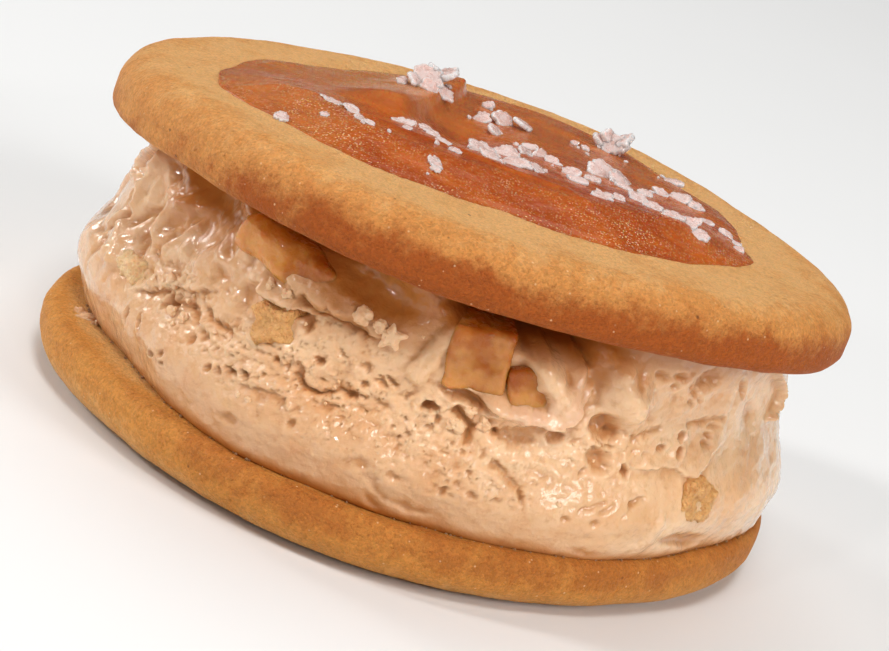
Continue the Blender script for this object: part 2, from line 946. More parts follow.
@dataclass
class TopCookie(Cookie):
    """The upper cookie, with the dish that the caramel lies in."""

    dish_depth: float = 1.5
    dish_slope: float = 1.6
    top_share: float = 0.7

    def build(self, pool: "CaramelPool") -> bpy.types.Object:
        """Make the upper cookie.

        Args:
            pool: The caramel, whose outline the dish follows.

        Returns:
            The piece.
        """
        bm = self.body()
        points = get_points(bm)
        inward = pool.inward(points[:, 0], points[:, 1])
        on_top = points[:, 2] > self.thickness * self.top_share
        sunk = smooth_step(inward / self.dish_slope) * self.dish_depth
        points[:, 2] -= np.where(on_top, sunk, 0.0)
        points[:, 2] += STACK.warp(points[:, 0], points[:, 1])
        set_points(bm, points)
        bmesh.ops.transform(bm, matrix=STACK.top_matrix(), verts=bm.verts)
        return finish_piece(self.name, bm, self.finish.build(), [self.node])


# ---------------------------------------------------------------- caramel pool


@dataclass
class CaramelPool:
    """The caramel in the top cookie: a domed pool with a bank, a fold and a hollow."""

    name: str = "caramel_pool"
    node: str = "caramel_top"
    radius: float = 31.2
    edge: tuple[Wave, ...] = (
        Wave(2, 0.8, 131),
        Wave(3, 1.5, -104),
        Wave(5, 0.4, 148),
        Wave(8, 0.6, 200),
        Wave(14, 0.18, 100),
        Wave(23, 0.10, 5),
    )
    shift: Place = (-0.6, 0.8)
    columns: int = 480
    floor: float = 5.8
    lip: float = 7.35
    bead: float = 0.3
    bead_width: float = 2.0
    rise: float = 1.9
    bank_width: float = 9.5
    back_share: float = 0.2
    front_start: float = 14.0
    front_reach: float = 30.0
    wave_height: float = 0.16
    ripple_height: float = 0.035
    crease_height: float = 0.16
    crease_width: float = 0.8
    crease_sag: float = 0.12
    rings: int = 74
    fold_foot: tuple[Place, ...] = ((-10.5, -6.0), (-9.2, 1.3), (-8.1, 9.1), (-6.8, 16.9), (-5.8, 24.0))
    fold_slope: Place = (2.8, 1.0)
    fold_height: float = 1.9
    fold_tail: float = 10.0
    hollow_middle: Place = (-5.0, 3.0)
    hollow_spread: Place = (4.2, 9.5)
    hollow_depth: float = 1.7
    crease: tuple[Place, ...] = (
        (-28.0, -12.5),
        (-25.0, -11.0),
        (-20.0, -12.0),
        (-15.0, -14.5),
        (-10.5, -15.7),
        (-4.0, -15.3),
        (1.0, -16.6),
        (7.5, -16.4),
        (11.0, -20.5),
    )

    def inward(self, x: np.ndarray, y: np.ndarray) -> np.ndarray:
        """How far points are inside the pool's outline.

        Args:
            x: First coordinates.
            y: Second coordinates.

        Returns:
            The distances, negative outside.
        """
        local_x = x - self.shift[0]
        local_y = y - self.shift[1]
        outline = self.radius + wave_sum(self.edge, np.arctan2(local_y, local_x))
        return outline - np.hypot(local_x, local_y)

    def height(self, x: np.ndarray, y: np.ndarray) -> np.ndarray:
        """Height of the caramel in the top cookie's frame, before the warp.

        Args:
            x: First coordinates.
            y: Second coordinates.

        Returns:
            The heights.
        """
        inward = self.inward(x, y)
        height = self.lip + self.bead * smooth_step(inward / self.bead_width)
        forward = smooth_step((self.front_start - y) / self.front_reach)
        toward_front = self.back_share + (1.0 - self.back_share) * forward
        height = height + self.rise * smooth_step(inward / self.bank_width) * toward_front
        foot_y = [spot[1] for spot in self.fold_foot]
        foot_x = [spot[0] for spot in self.fold_foot]
        past_foot = np.interp(y, foot_y, foot_x) - x
        slope = np.interp(y, (0.0, 22.0), self.fold_slope)
        lift = smooth_step(past_foot / slope) * smooth_step(1.0 - (past_foot - slope) / self.fold_tail)
        lift *= smooth_step((y + 7.0) / 8.0) * smooth_step(inward / 6.0)
        height += self.fold_height * lift
        hollow_x = x - self.hollow_middle[0]
        hollow_y = y - self.hollow_middle[1]
        height -= self.hollow_depth * blob(hollow_x, hollow_y, *self.hollow_spread)
        return height

    def surface(self, x: float, y: float) -> float:
        """Height of the caramel's surface at one point of the top cookie's frame."""
        xs, ys = np.array([x]), np.array([y])
        return float(self.height(xs, ys)[0] + self.ripples(xs, ys)[0] + STACK.warp(xs, ys)[0])

    def ripples(self, x: np.ndarray, y: np.ndarray) -> np.ndarray:
        """Smaller folds and waves that lie on the pool.

        Args:
            x: First coordinates.
            y: Second coordinates.

        Returns:
            The heights that they add.
        """
        flat = np.stack([x, y, np.zeros(len(x))], axis=1)
        waves = fractal(flat, 9.0, 2, 2.2) * self.wave_height
        waves = waves + fractal(flat, 2.2, 2, 7.9) * self.ripple_height
        distance, side = line_distance(x, y, self.crease)
        waves += self.crease_height * np.exp(-((distance / self.crease_width) ** 2))
        below = smooth_step(distance / 1.5) * np.exp(-distance / 4.0)
        waves -= self.crease_sag * np.where(side < 0, below, 0.0)
        inside = smooth_step(self.inward(x, y) / 2.0)
        return waves * inside

    def profile(self) -> list[Place]:
        """Section of the pool as (radius, height) points.

        Returns:
            The points, from the lower pole up.
        """
        points = [(self.radius * k, self.floor) for k in (0.0, 0.4, 0.75, 0.95)]
        points += [(self.radius, self.floor + 0.4), (self.radius * 1.001, self.lip - 0.3)]
        for ring in range(self.rings + 1):
            share = 1.0 - (ring / self.rings) ** 1.25
            points.append((self.radius * share, self.lip + self.bead))
        return points

    def bubbly(self, x: np.ndarray, y: np.ndarray, points: np.ndarray) -> np.ndarray:
        """How full of bubbles the caramel is: most in patches of the front bank.

        Args:
            x: First coordinates.
            y: Second coordinates.
            points: The same places in space, for noise.

        Returns:
            One share for each point.
        """
        inward = self.inward(x, y)
        front = smooth_step((4.0 - y) / 16.0)
        bank = smooth_step(inward / 0.6) * smooth_step((13.0 - inward) / 7.0) * front
        patches = smooth_step((fractal(points, 6.0, 3, 8.8) + 0.35) / 0.7)
        return bank * (0.35 + 0.65 * patches)

    def filmed(self, x: np.ndarray, y: np.ndarray) -> np.ndarray:
        """How dull and pale a skin the caramel has: most at the back and the left.

        Args:
            x: First coordinates.
            y: Second coordinates.

        Returns:
            One share for each point.
        """
        flat_back = smooth_step((y + 2.0) / 20.0) * smooth_step((x + 34.0) / 8.0)
        left_back = smooth_step((-7.5 - x) / 3.0) * smooth_step((y + 8.0) / 12.0)
        left_end = smooth_step((-12.0 - x) / 9.0) * smooth_step(-y / 6.0)
        return 0.22 * flat_back + 0.30 * left_back + 0.24 * left_end

    def build(self, finish: CaramelFinish) -> bpy.types.Object:
        """Make the pool of caramel.

        Args:
            finish: Its finish.

        Returns:
            The piece.
        """
        bm = rolled(self.profile(), self.columns)
        points = get_points(bm)
        on_surface = points[:, 2] > self.lip + self.bead / 2
        angle = np.arctan2(points[:, 1], points[:, 0])
        stretch = 1 + wave_sum(self.edge, angle) / self.radius
        x = points[:, 0] * stretch + self.shift[0]
        y = points[:, 1] * stretch + self.shift[1]
        raised = self.height(x, y) + self.ripples(x, y)
        points[:, 2] = np.where(on_surface, raised, points[:, 2]) + STACK.warp(x, y)
        points[:, 0] = x
        points[:, 1] = y
        add_attribute(bm, "bank", self.bubbly(x, y, points))
        add_attribute(bm, "thin", self.filmed(x, y))
        set_points(bm, points)
        bmesh.ops.transform(bm, matrix=STACK.top_matrix(), verts=bm.verts)
        return finish_piece(self.name, bm, finish.build(), [self.node])


# ---------------------------------------------------------------- ice cream


@dataclass(frozen=True)
class Dent:
    """A hollow in the side of the ice cream, or a bump where its depth is negative.

    steep is 1 for a soft hollow and 3 for a pit with steep walls, and lip is the
    share of its depth that its rim is raised.
    """

    along: float
    up: float
    wide: float
    tall: float
    depth: float
    turn: float = 0.0
    steep: float = 1.0
    lip: float = 0.0


@dataclass(frozen=True)
class Stroke:
    """A crease or a ridge that follows a line on the side.

    height is how far it stands out, and negative in a crease. step raises the
    surface over the line and lowers it under the line, fading over reach, and
    hang lets the raised edge sag over the line. blunt is 1 for a round ridge and
    more for a flat fold with steep sides.
    """

    route: tuple[Place, ...]
    width: float
    height: float = 0.0
    step: float = 0.0
    reach: float = 2.0
    hang: float = 0.0
    blunt: float = 1.0


@dataclass(frozen=True)
class Zone:
    """A soft-edged patch of the side where some quality holds."""

    along: float
    up: float
    wide: float
    tall: float
    size: float = 1.0


@dataclass(frozen=True)
class Swell:
    """A broad swelling, or sinking, of the side at an angle in degrees."""

    angle: float
    height: float
    wide: float
    tall: float
    size: float


SWELLS = (
    Swell(180, 16, 30, 6, 1.4),
    Swell(-137, 25.4, 5, 2.4, -1.2),
    Swell(-149, 24, 5, 4, 0.8),
    Swell(-110, 31, 10, 2.2, -3),
    Swell(-71, 30.5, 10, 2.8, -3.2),
    Swell(-56, 24.6, 4, 2.6, 1),
    Swell(-98, 17, 14, 3, -0.7),
    Swell(-75, 12, 12, 3, 0.6),
    Swell(45, 21, 9, 4, -1),
    Swell(88, 14, 16, 4, 0.8),
    Swell(118, 20, 8, 3, -1.1),
)

LEFT_SWIRLS = (
    Dent(-56.7, 24.9, 4.6, 1, 2.03, 24, 1.3, 0.4),
    Dent(-53.9, 24.3, 1, 0.7, -0.65, 20),
    Dent(-52.7, 23.2, 1, 0.7, -0.65, 30),
    Dent(-52.8, 18.6, 1.8, 0.8, 1.3, 50, 1.4, 0.3),
    Dent(-51.4, 17.2, 0.9, 0.7, -0.58, 30),
    Dent(-51.2, 15.5, 0.9, 0.6, -0.51, 20),
    Dent(-62.8, 17.7, 2.6, 2.4, 1.45),
    Dent(-66, 20.5, 2.4, 2, -1.01),
    Dent(-49.5, 24.1, 0.6, 1.6, -0.43),
    Dent(-39.5, 23.4, 2.4, 1.3, 0.9, 37, 1, 0.2),
    Dent(-36.2, 21.6, 1.8, 1.1, -0.72, 35),
    Dent(-42.6, 22, 1.2, 1.8, -0.65, 20),
    Dent(-31.5, 23.2, 3.4, 2.4, -0.8, 10),
    Dent(-45.5, 19.5, 1.6, 2.6, 0.58, 60),
    Dent(-58.5, 14, 4, 3, -0.58),
    Dent(-47.5, 21.3, 1.2, 3, 0.51, 20),
)

LEFT_PITS = (
    Dent(-33.8, 16.3, 0.85, 0.6, 1.9, 74, 2.2, 0.15),
    Dent(-32.6, 16, 1, 0.5, 0.9, 10, 1.5),
    Dent(-39.2, 12.1, 0.95, 0.30, 0.9, -62, 1.8, 0.2),
    Dent(-36.2, 12.6, 0.95, 0.34, 0.8, -55, 1.8, 0.2),
    Dent(-26.2, 15.1, 0.6, 0.5, 0.8, 0, 1.6),
    Dent(-24.6, 15.9, 0.7, 0.5, 0.9, 20, 1.6),
    Dent(-31.1, 11.1, 0.5, 0.35, 0.45, 30, 1.5, 0.4),
    Dent(-29.3, 12, 0.5, 0.4, 0.45, 0, 1.5, 0.4),
    Dent(-28.6, 11.2, 0.35, 0.3, 0.35, 0, 1.5, 0.4),
    Dent(-21.8, 13.8, 0.55, 0.4, 0.6, 20, 1.6, 0.3),
    Dent(-20.3, 14.1, 0.5, 0.4, 0.6, -10, 1.6, 0.3),
    Dent(-19, 14.8, 0.8, 0.35, 1, -12, 2, 0.2),
    Dent(-17.3, 15.1, 0.75, 0.32, 1, -22, 2, 0.2),
    Dent(-16.9, 10.6, 1.1, 0.5, 0.35, 18, 1.4, 0.3),
    Dent(-16, 23, 2.5, 0.62, 2.2, 8, 2),
    Dent(-18.2, 23.1, 0.9, 0.6, 1.2, 10, 1.6),
    Dent(-13, 22.6, 0.7, 1.1, 1.1, 0, 1.6),
    Dent(-24, 20.5, 3.2, 1.6, -0.35, 10),
    Dent(-21.2, 21.6, 1, 2.2, 0.4, 10),
    Dent(-10.2, 19.7, 0.65, 0.5, 1, 0, 1.6, 0.15),
    Dent(-14.9, 17.9, 0.45, 0.4, 0.9, 0, 1.8),
    Dent(-8.1, 21.2, 0.6, 0.25, 0.5, -10, 1.8),
    Dent(-5.6, 20.7, 0.7, 0.3, 0.55, -10, 1.8),
    Dent(-4.7, 19.1, 0.55, 0.25, 0.6, -15, 1.8),
    Dent(-3.2, 19.7, 0.75, 0.26, 0.7, -19, 1.8),
    Dent(-2.3, 20.4, 0.7, 0.28, 0.6, -19, 1.8),
    Dent(-7.6, 15.7, 1, 0.32, 0.45, 11, 1.6),
    Dent(-10.3, 14.3, 0.5, 0.3, 0.4, 0, 1.6),
    Dent(-10.2, 13, 0.45, 0.4, 0.5, 30, 1.8),
    Dent(-5.8, 17.6, 0.8, 0.4, 0.8, -20, 1.8),
)

RECESSES = (
    Dent(8.8, 29.9, 7.2, 2.3, 7.5, -4, 2.2),
    Dent(16, 28.6, 2.4, 1.6, 2.5, -10, 1.6),
    Dent(-21.5, 31.2, 6, 1.6, 3.5, -6, 1.8),
    Dent(-36, 29.6, 8.5, 2.4, 2.4, -8, 1.4),
    Dent(-6.5, 28.6, 5.5, 1.8, 2, -8, 1.4),
)

CENTRE_PITS = (
    Dent(2.2, 19.1, 1, 0.36, 1.7, 12, 2.4, 0.2),
    Dent(3.5, 18.2, 0.35, 0.6, 0.7, 20, 1.8),
    Dent(3, 17.2, 0.35, 0.5, 0.5, 20, 1.8),
    Dent(5.6, 21.1, 3, 0.75, 1.7, -6, 1.8),
    Dent(11.4, 18.4, 2, 0.9, 0.9, 4, 1.5),
    Dent(10.6, 24.6, 1.6, 1.8, 0.5, 10, 1.2),
    Dent(9.7, 18.6, 0.5, 0.4, 0.9, 0, 1.8),
    Dent(15.9, 19.6, 0.8, 0.55, 0.9, 20, 1.8, 0.2),
    Dent(13.5, 13.3, 0.65, 0.42, 0.7, -54, 1.8, 0.3),
    Dent(14, 12.5, 0.7, 0.3, 0.4, -60, 1.5),
    Dent(5.9, 12.1, 0.45, 0.4, 0.5, 30, 1.8, 0.2),
    Dent(8.5, 12.4, 0.5, 0.35, 0.5, 20, 1.8, 0.2),
    Dent(10.9, 12.4, 0.5, 0.3, 0.45, 10, 1.8, 0.2),
    Dent(6.9, 13.1, 0.4, 0.3, 0.35, 0, 1.8),
    Dent(8.8, 16.3, 0.45, 0.35, 0.45, 0, 1.8),
    Dent(19.5, 16.7, 0.5, 0.3, 0.5, 30, 1.8),
    Dent(18.5, 11.9, 0.5, 0.35, 0.4, 0, 1.8),
    Dent(1, 15.8, 0.5, 0.35, 0.45, 0, 1.8),
    Dent(0.6, 14.6, 0.4, 0.3, 0.4, 0, 1.8),
    Dent(3.6, 9.1, 1.4, 0.5, 0.3, -10),
    Dent(-2.9, 11.8, 1.4, 0.55, 0.35, 8, 1.4),
    Dent(0.8, 11.8, 0.9, 0.5, 0.3, 0, 1.4),
    Dent(-0.4, 8.2, 1.2, 0.5, 0.35, -41, 1.4),
    Dent(2.5, 8.8, 2, 0.5, 0.3, 2, 1.4),
    Dent(21.5, 21.3, 1.8, 1.3, 1.3, 0, 1.5, 0.15),
    Dent(20.3, 21, 0.35, 0.35, 0.7, 0, 1.8),
    Dent(22.4, 20.9, 0.35, 0.3, 0.7, 0, 1.8),
    Dent(21.5, 22.1, 0.3, 0.3, 0.6, 0, 1.8),
    Dent(21.3, 18, 1.3, 1.1, 0.9, -20, 1.6, 0.2),
    Dent(24.8, 17.1, 0.8, 0.5, 1, -72, 2, 0.2),
)

RIGHT_PITS = (
    Dent(19.2, 26.2, 1.3, 1, 0.8, 0, 1.5),
    Dent(27.1, 27.4, 1.1, 0.4, 0.6, -10, 1.8),
    Dent(30.1, 27.4, 1.1, 0.45, 0.6, -10, 1.8),
    Dent(35.4, 26.8, 2.4, 1.2, 1.1, 6, 1.4),
    Dent(29.5, 26.3, 0.5, 0.3, 0.5, -10, 1.8),
    Dent(32.6, 26.1, 0.5, 0.3, 0.5, -10, 1.8),
    Dent(33.8, 25.3, 1.4, 0.3, 0.5, -10, 1.6),
    Dent(33.3, 24.4, 0.6, 0.25, 0.4, -10, 1.6),
    Dent(35.1, 24.6, 0.6, 0.25, 0.4, -10, 1.6),
    Dent(43.4, 25.4, 1.2, 0.6, 0.6, -52, 1.8, 0.2),
    Dent(39.2, 21.5, 1.1, 0.3, 0.4, 0, 1.6),
    Dent(32.9, 20.8, 0.6, 0.5, 0.7, 20, 1.8, 0.2),
    Dent(32.9, 19.1, 0.75, 0.5, 1.1, 30, 2, 0.2),
    Dent(29.8, 19.6, 0.8, 0.35, 0.7, 10, 1.8, 0.2),
    Dent(37.7, 19.6, 1, 0.4, 0.5, 0, 1.8, 0.15),
    Dent(38, 20.5, 0.6, 0.35, 0.5, 0, 1.8),
    Dent(22.2, 11.7, 0.6, 0.35, 0.4, 0, 1.8),
    Dent(36.2, 9.3, 3.9, 0.8, 0.9, -8, 1.4),
    Dent(22.9, 7.9, 2.2, 0.5, 0.4, -8),
    Dent(47.5, 22, 2.2, 2.4, 0.4, -30),
    Dent(46, 26.8, 1.6, 1.2, -0.4),
    Dent(51, 17.5, 2.4, 2, -0.5),
)

BACK_PITS = (
    Dent(70, 24, 3.4, 1, 1, 12, 1.4, 0.3),
    Dent(77.5, 19, 1.2, 0.6, 1.1, -20, 2, 0.2),
    Dent(83, 22.5, 1, 0.7, 1, 30, 1.8, 0.2),
    Dent(90, 16, 2.2, 0.6, 0.9, 10, 1.6, 0.2),
    Dent(97, 24.5, 2.8, 1.2, 0.9, -16, 1.4, 0.3),
    Dent(108, 20, 1.2, 0.8, 1.3, 40, 1.9, 0.2),
    Dent(117, 12.5, 1, 0.4, 0.6, 0, 1.8, 0.2),
    Dent(123, 23, 2.6, 0.9, 1, -8, 1.4, 0.2),
    Dent(-118, 18, 1.3, 0.7, 1.2, 20, 1.9, 0.2),
    Dent(-108, 24, 3, 1.1, 1, -18, 1.4, 0.3),
    Dent(-98, 15, 1.1, 0.5, 0.8, 0, 1.8, 0.2),
    Dent(-90, 21.5, 2, 0.9, 1, 24, 1.5, 0.3),
    Dent(-81, 17, 1, 0.5, 0.8, -30, 1.8, 0.2),
    Dent(-74, 23.5, 2.8, 1.1, 0.9, 16, 1.3, 0.3),
)

FOLDS = (
    Stroke(((2.1, 27.2), (1.3, 25.3), (0.6, 23.8), (0, 21.9)), 1, 0.75, blunt=2.2),
    Stroke(((12, 27.8), (12.7, 26.2), (13.6, 25), (14.8, 23.8)), 1.5, 2.4, blunt=1.5),
    Stroke(
        ((8.2, 21), (10.5, 20.7), (13, 21.2), (15.4, 21.4), (16.8, 22.6)),
        1.1, 1.2, hang=0.4, blunt=1.8,
    ),
    Stroke(((16.2, 27.8), (16.9, 26), (16.7, 24.4)), 0.9, 0.8, blunt=1.3),
    Stroke(((20.9, 26.2), (22.3, 25.2), (24, 23.7)), 1.7, 1.6, blunt=1.2),
    Stroke(((19, 29), (20.2, 28.3), (21.8, 27.7)), 1, 0.8, blunt=1.3),
    Stroke(((50, 26.9), (53.6, 24.9), (55.5, 23.2), (55.2, 21.6), (53.2, 20.7)), 0.45, 0.6, blunt=1.5),
    Stroke(((-19.5, 24.3), (-17.4, 24.1), (-15.2, 24.3)), 0.6, 0.9, hang=0.5, blunt=1.8),
    Stroke(((-29.5, 26), (-28, 24), (-24.5, 23.4), (-20.5, 24.6)), 0.8, 0.5, blunt=1.5),
    Stroke(((-16.5, 26), (-13.8, 25.9), (-11, 25.3)), 0.9, 0.5, hang=0.2, blunt=1.6),
    Stroke(((78, 25.5), (81, 22), (82.5, 18.5)), 1.2, 0.9, blunt=1.8),
    Stroke(((-100, 25), (-97, 23), (-95.5, 20)), 1.2, 0.9, blunt=1.8),
)

STROKES = (
    Stroke(
        ((-49.8, 27.9), (-51.2, 25.5), (-51.8, 23.1), (-51.8, 20.1), (-50.2, 18), (-48.1, 15.6)),
        0.9, 1,
    ),
    Stroke(((-48.9, 28.2), (-46.9, 27.1), (-44.5, 26.8)), 0.5, -0.5),
    Stroke(((-46.8, 25), (-44.1, 24.7), (-40.4, 25.5), (-36, 26.4)), 0.6, 0.35),
    Stroke(((-40.4, 25.5), (-42.9, 23.9), (-43.8, 21.9), (-41.5, 20.5), (-39.3, 19.9)), 0.8, 0.45),
    Stroke(((-35.8, 24.4), (-37, 23), (-38.2, 21.8), (-39.4, 20.6)), 0.55, 0.5),
    Stroke(((-46.5, 27.5), (-47.6, 24), (-47.2, 20.5), (-44.5, 17)), 0.7, -0.35),
    Stroke(((-44, 17.3), (-41, 18.2), (-38, 17.8)), 0.5, 0.4),
    Stroke(
        ((-38.5, 15.9), (-37.4, 16.5), (-35.3, 17.6), (-33.3, 18.6), (-31.4, 18.8), (-29, 19.8)),
        0.5, 0.25, 0.55, 1.8, 0.35,
    ),
    Stroke(
        ((-33, 16.6), (-31.5, 17.3), (-30.2, 17.5), (-28.7, 17.5), (-27.3, 17.2)),
        0.45, -0.9, 0.3, 1.4, 0.2,
    ),
    Stroke(((-26.5, 18.6), (-25.1, 18.2), (-23.6, 18.1), (-21.8, 18.1)), 0.4, -0.8, 0.3, 1.4, 0.2),
    Stroke(((-19.4, 24), (-17.6, 24.1), (-15.5, 24.2), (-13.2, 24)), 0.6, 0.5, 0.5, 1.6, 0.5),
    Stroke(
        ((-14.2, 25.2), (-12.3, 24.8), (-10.8, 24.6), (-9.1, 24.5), (-6.6, 24.2)),
        0.5, -1, 0.55, 2, 0.45,
    ),
    Stroke(((-13.4, 17.9), (-12.2, 18.3), (-11.4, 17.7)), 0.3, -0.6, 0.25, 0.9),
    Stroke(
        ((-12, 17.3), (-10.7, 16.9), (-9.8, 16.6), (-8.6, 16.9), (-7.5, 17.6), (-6, 17.8)),
        0.42, -0.8, 0.35, 1.5, 0.3,
    ),
    Stroke(((-15.5, 14.6), (-13.9, 14.8), (-12.8, 15), (-12.1, 14.6)), 0.3, -0.2, 0.35, 1.1),
    Stroke(((5.1, 19.5), (6.3, 18.9), (7.2, 18.6), (7, 18), (6.9, 17.2)), 0.4, -1.2, 0.3, 1.2),
    Stroke(
        ((8.4, 21.2), (9.6, 21.3), (11.5, 21.2), (13.1, 21.3), (15.5, 20.9), (17, 21.7), (17.7, 22.9)),
        0.8, 0.7, 0.35, 1.8, 0.4,
    ),
    Stroke(((10.1, 15.8), (11.1, 15.3), (12.2, 14.7), (13.3, 14.1)), 0.35, -0.55, 0.25, 1.2),
    Stroke(((11.8, 16.2), (13.7, 16.7), (15.4, 16.6), (17.2, 16.1)), 0.4, 0.3),
    Stroke(((8.9, 12.6), (9.8, 13.4), (10.9, 14.4)), 0.35, 0.3),
    Stroke(((-1.8, 11), (-0.7, 10.6), (-0.1, 9.8), (0.5, 9)), 0.5, -0.35),
    Stroke(((17.8, 29.4), (17.4, 28.8), (17.8, 28.1), (18.1, 27.2)), 0.3, -1.6),
    Stroke(((33.7, 21.8), (35.3, 22.1), (37.2, 22.1), (41, 22.2)), 0.28, -0.4),
    Stroke(((25.1, 20.6), (26.9, 21.1), (29, 21.6)), 0.35, -0.35),
    Stroke(
        ((28, 17.5), (30, 17.6), (31.8, 17.5), (34.1, 17), (36, 16.3), (37.8, 17.6), (39.7, 18.6)),
        0.45, 0.1, 0.28, 2.2, 0.15,
    ),
    Stroke(((26.1, 13.9), (27.9, 14.5)), 0.35, -0.4),
    Stroke(((19.9, 12.9), (22.5, 13.8)), 0.3, -0.3),
    Stroke(((22.3, 12.8), (23.7, 13.8)), 0.25, -0.25),
    Stroke(((24.9, 12.4), (26.5, 14)), 0.25, -0.25),
    Stroke(((30.5, 12.2), (30.3, 11.2), (30.3, 9.6), (29.7, 8.8)), 0.7, 0.3),
    Stroke(((50.2, 26.7), (53.8, 24.9), (55.6, 23.2), (55.2, 21.9), (53.4, 20.9)), 0.4, 0.6),
    Stroke(((62, 20), (66, 19.4), (71, 19.8), (75, 21.2)), 0.45, -0.8, 0.4, 1.8, 0.3),
    Stroke(((86, 26), (91, 25.2), (96, 22)), 0.9, 0.6),
    Stroke(((99, 18.6), (103, 18.2), (107, 16.6)), 0.4, -0.8, 0.35, 1.6, 0.3),
    Stroke(((112, 25), (117, 23), (121, 19)), 0.9, 0.55),
    Stroke(((-124, 15.6), (-120, 15.2), (-115, 16.4)), 0.4, -0.8, 0.35, 1.6, 0.3),
    Stroke(((-106, 20.2), (-101, 20.8), (-96, 19.2)), 0.4, -0.7, 0.35, 1.6, 0.3),
    Stroke(((-88, 26), (-83, 23.5), (-79, 19)), 0.9, 0.6),
)

POROUS = (
    Zone(-10, 17.6, 13, 4.6),
    Zone(-33, 17.4, 7, 3),
    Zone(-22, 16.8, 6, 2.6, 0.7),
    Zone(-10, 24.8, 6, 2, 0.8),
    Zone(7, 15, 11, 4.5, 0.75),
    Zone(21.5, 19.8, 4.5, 3.6, 0.9),
    Zone(33, 20.5, 8, 2.8, 0.3),
    Zone(32, 26, 6, 2.2, 0.4),
    Zone(74, 19, 12, 4),
    Zone(103, 17, 11, 4, 0.9),
    Zone(-116, 17.5, 12, 4, 0.9),
    Zone(-92, 18, 10, 4),
)

MELTY = (
    Zone(-52, 22, 17, 6.5),
    Zone(-30, 25.5, 9, 3, 0.5),
    Zone(19, 25.5, 7, 3, 0.5),
    Zone(45, 23, 9, 4, 0.15),
    Zone(90, 24, 16, 4, 0.8),
    Zone(-100, 24, 18, 4, 0.9),
)

SHADED = (
    Zone(-36, 27.2, 11, 4.2),
    Zone(-22, 30, 9, 2, 0.8),
    Zone(-7, 27, 8.5, 3.2),
    Zone(8, 29.5, 8, 2.4, 0.9),
    Zone(18, 28.5, 3, 2.2, 0.7),
    Zone(-24, 10.5, 22, 7.5, 0.36),
    Zone(4, 9.5, 14, 5, 0.30),
)

ROSY = (
    Zone(-66, 16, 10, 9),
    Zone(12.5, 21.8, 4, 2),
    Zone(17.2, 24.5, 1.6, 3.4, 0.8),
    Zone(100, 22, 9, 4, 0.7),
)

PALE = (
    Zone(1.2, 24.4, 1.6, 3),
    Zone(12.7, 25.3, 2, 2.6),
    Zone(22.5, 25, 3, 2.6, 0.7),
    Zone(-38.6, 16.4, 3, 1.8, 0.8),
    Zone(-22, 26, 4, 2, 0.3),
)


def zone_sum(zones: Iterable[Zone], along: np.ndarray, up: np.ndarray) -> np.ndarray:
    """How much of a quality each place on the side has, from 0 to 1.

    Args:
        zones: The patches where the quality holds.
        along: Places round the side.
        up: Heights.

    Returns:
        The amounts.
    """
    total = np.zeros(along.shape)
    for zone in zones:
        total += zone.size * blob(along - zone.along, up - zone.up, zone.wide, zone.tall)
    return np.clip(total, 0.0, 1.0)


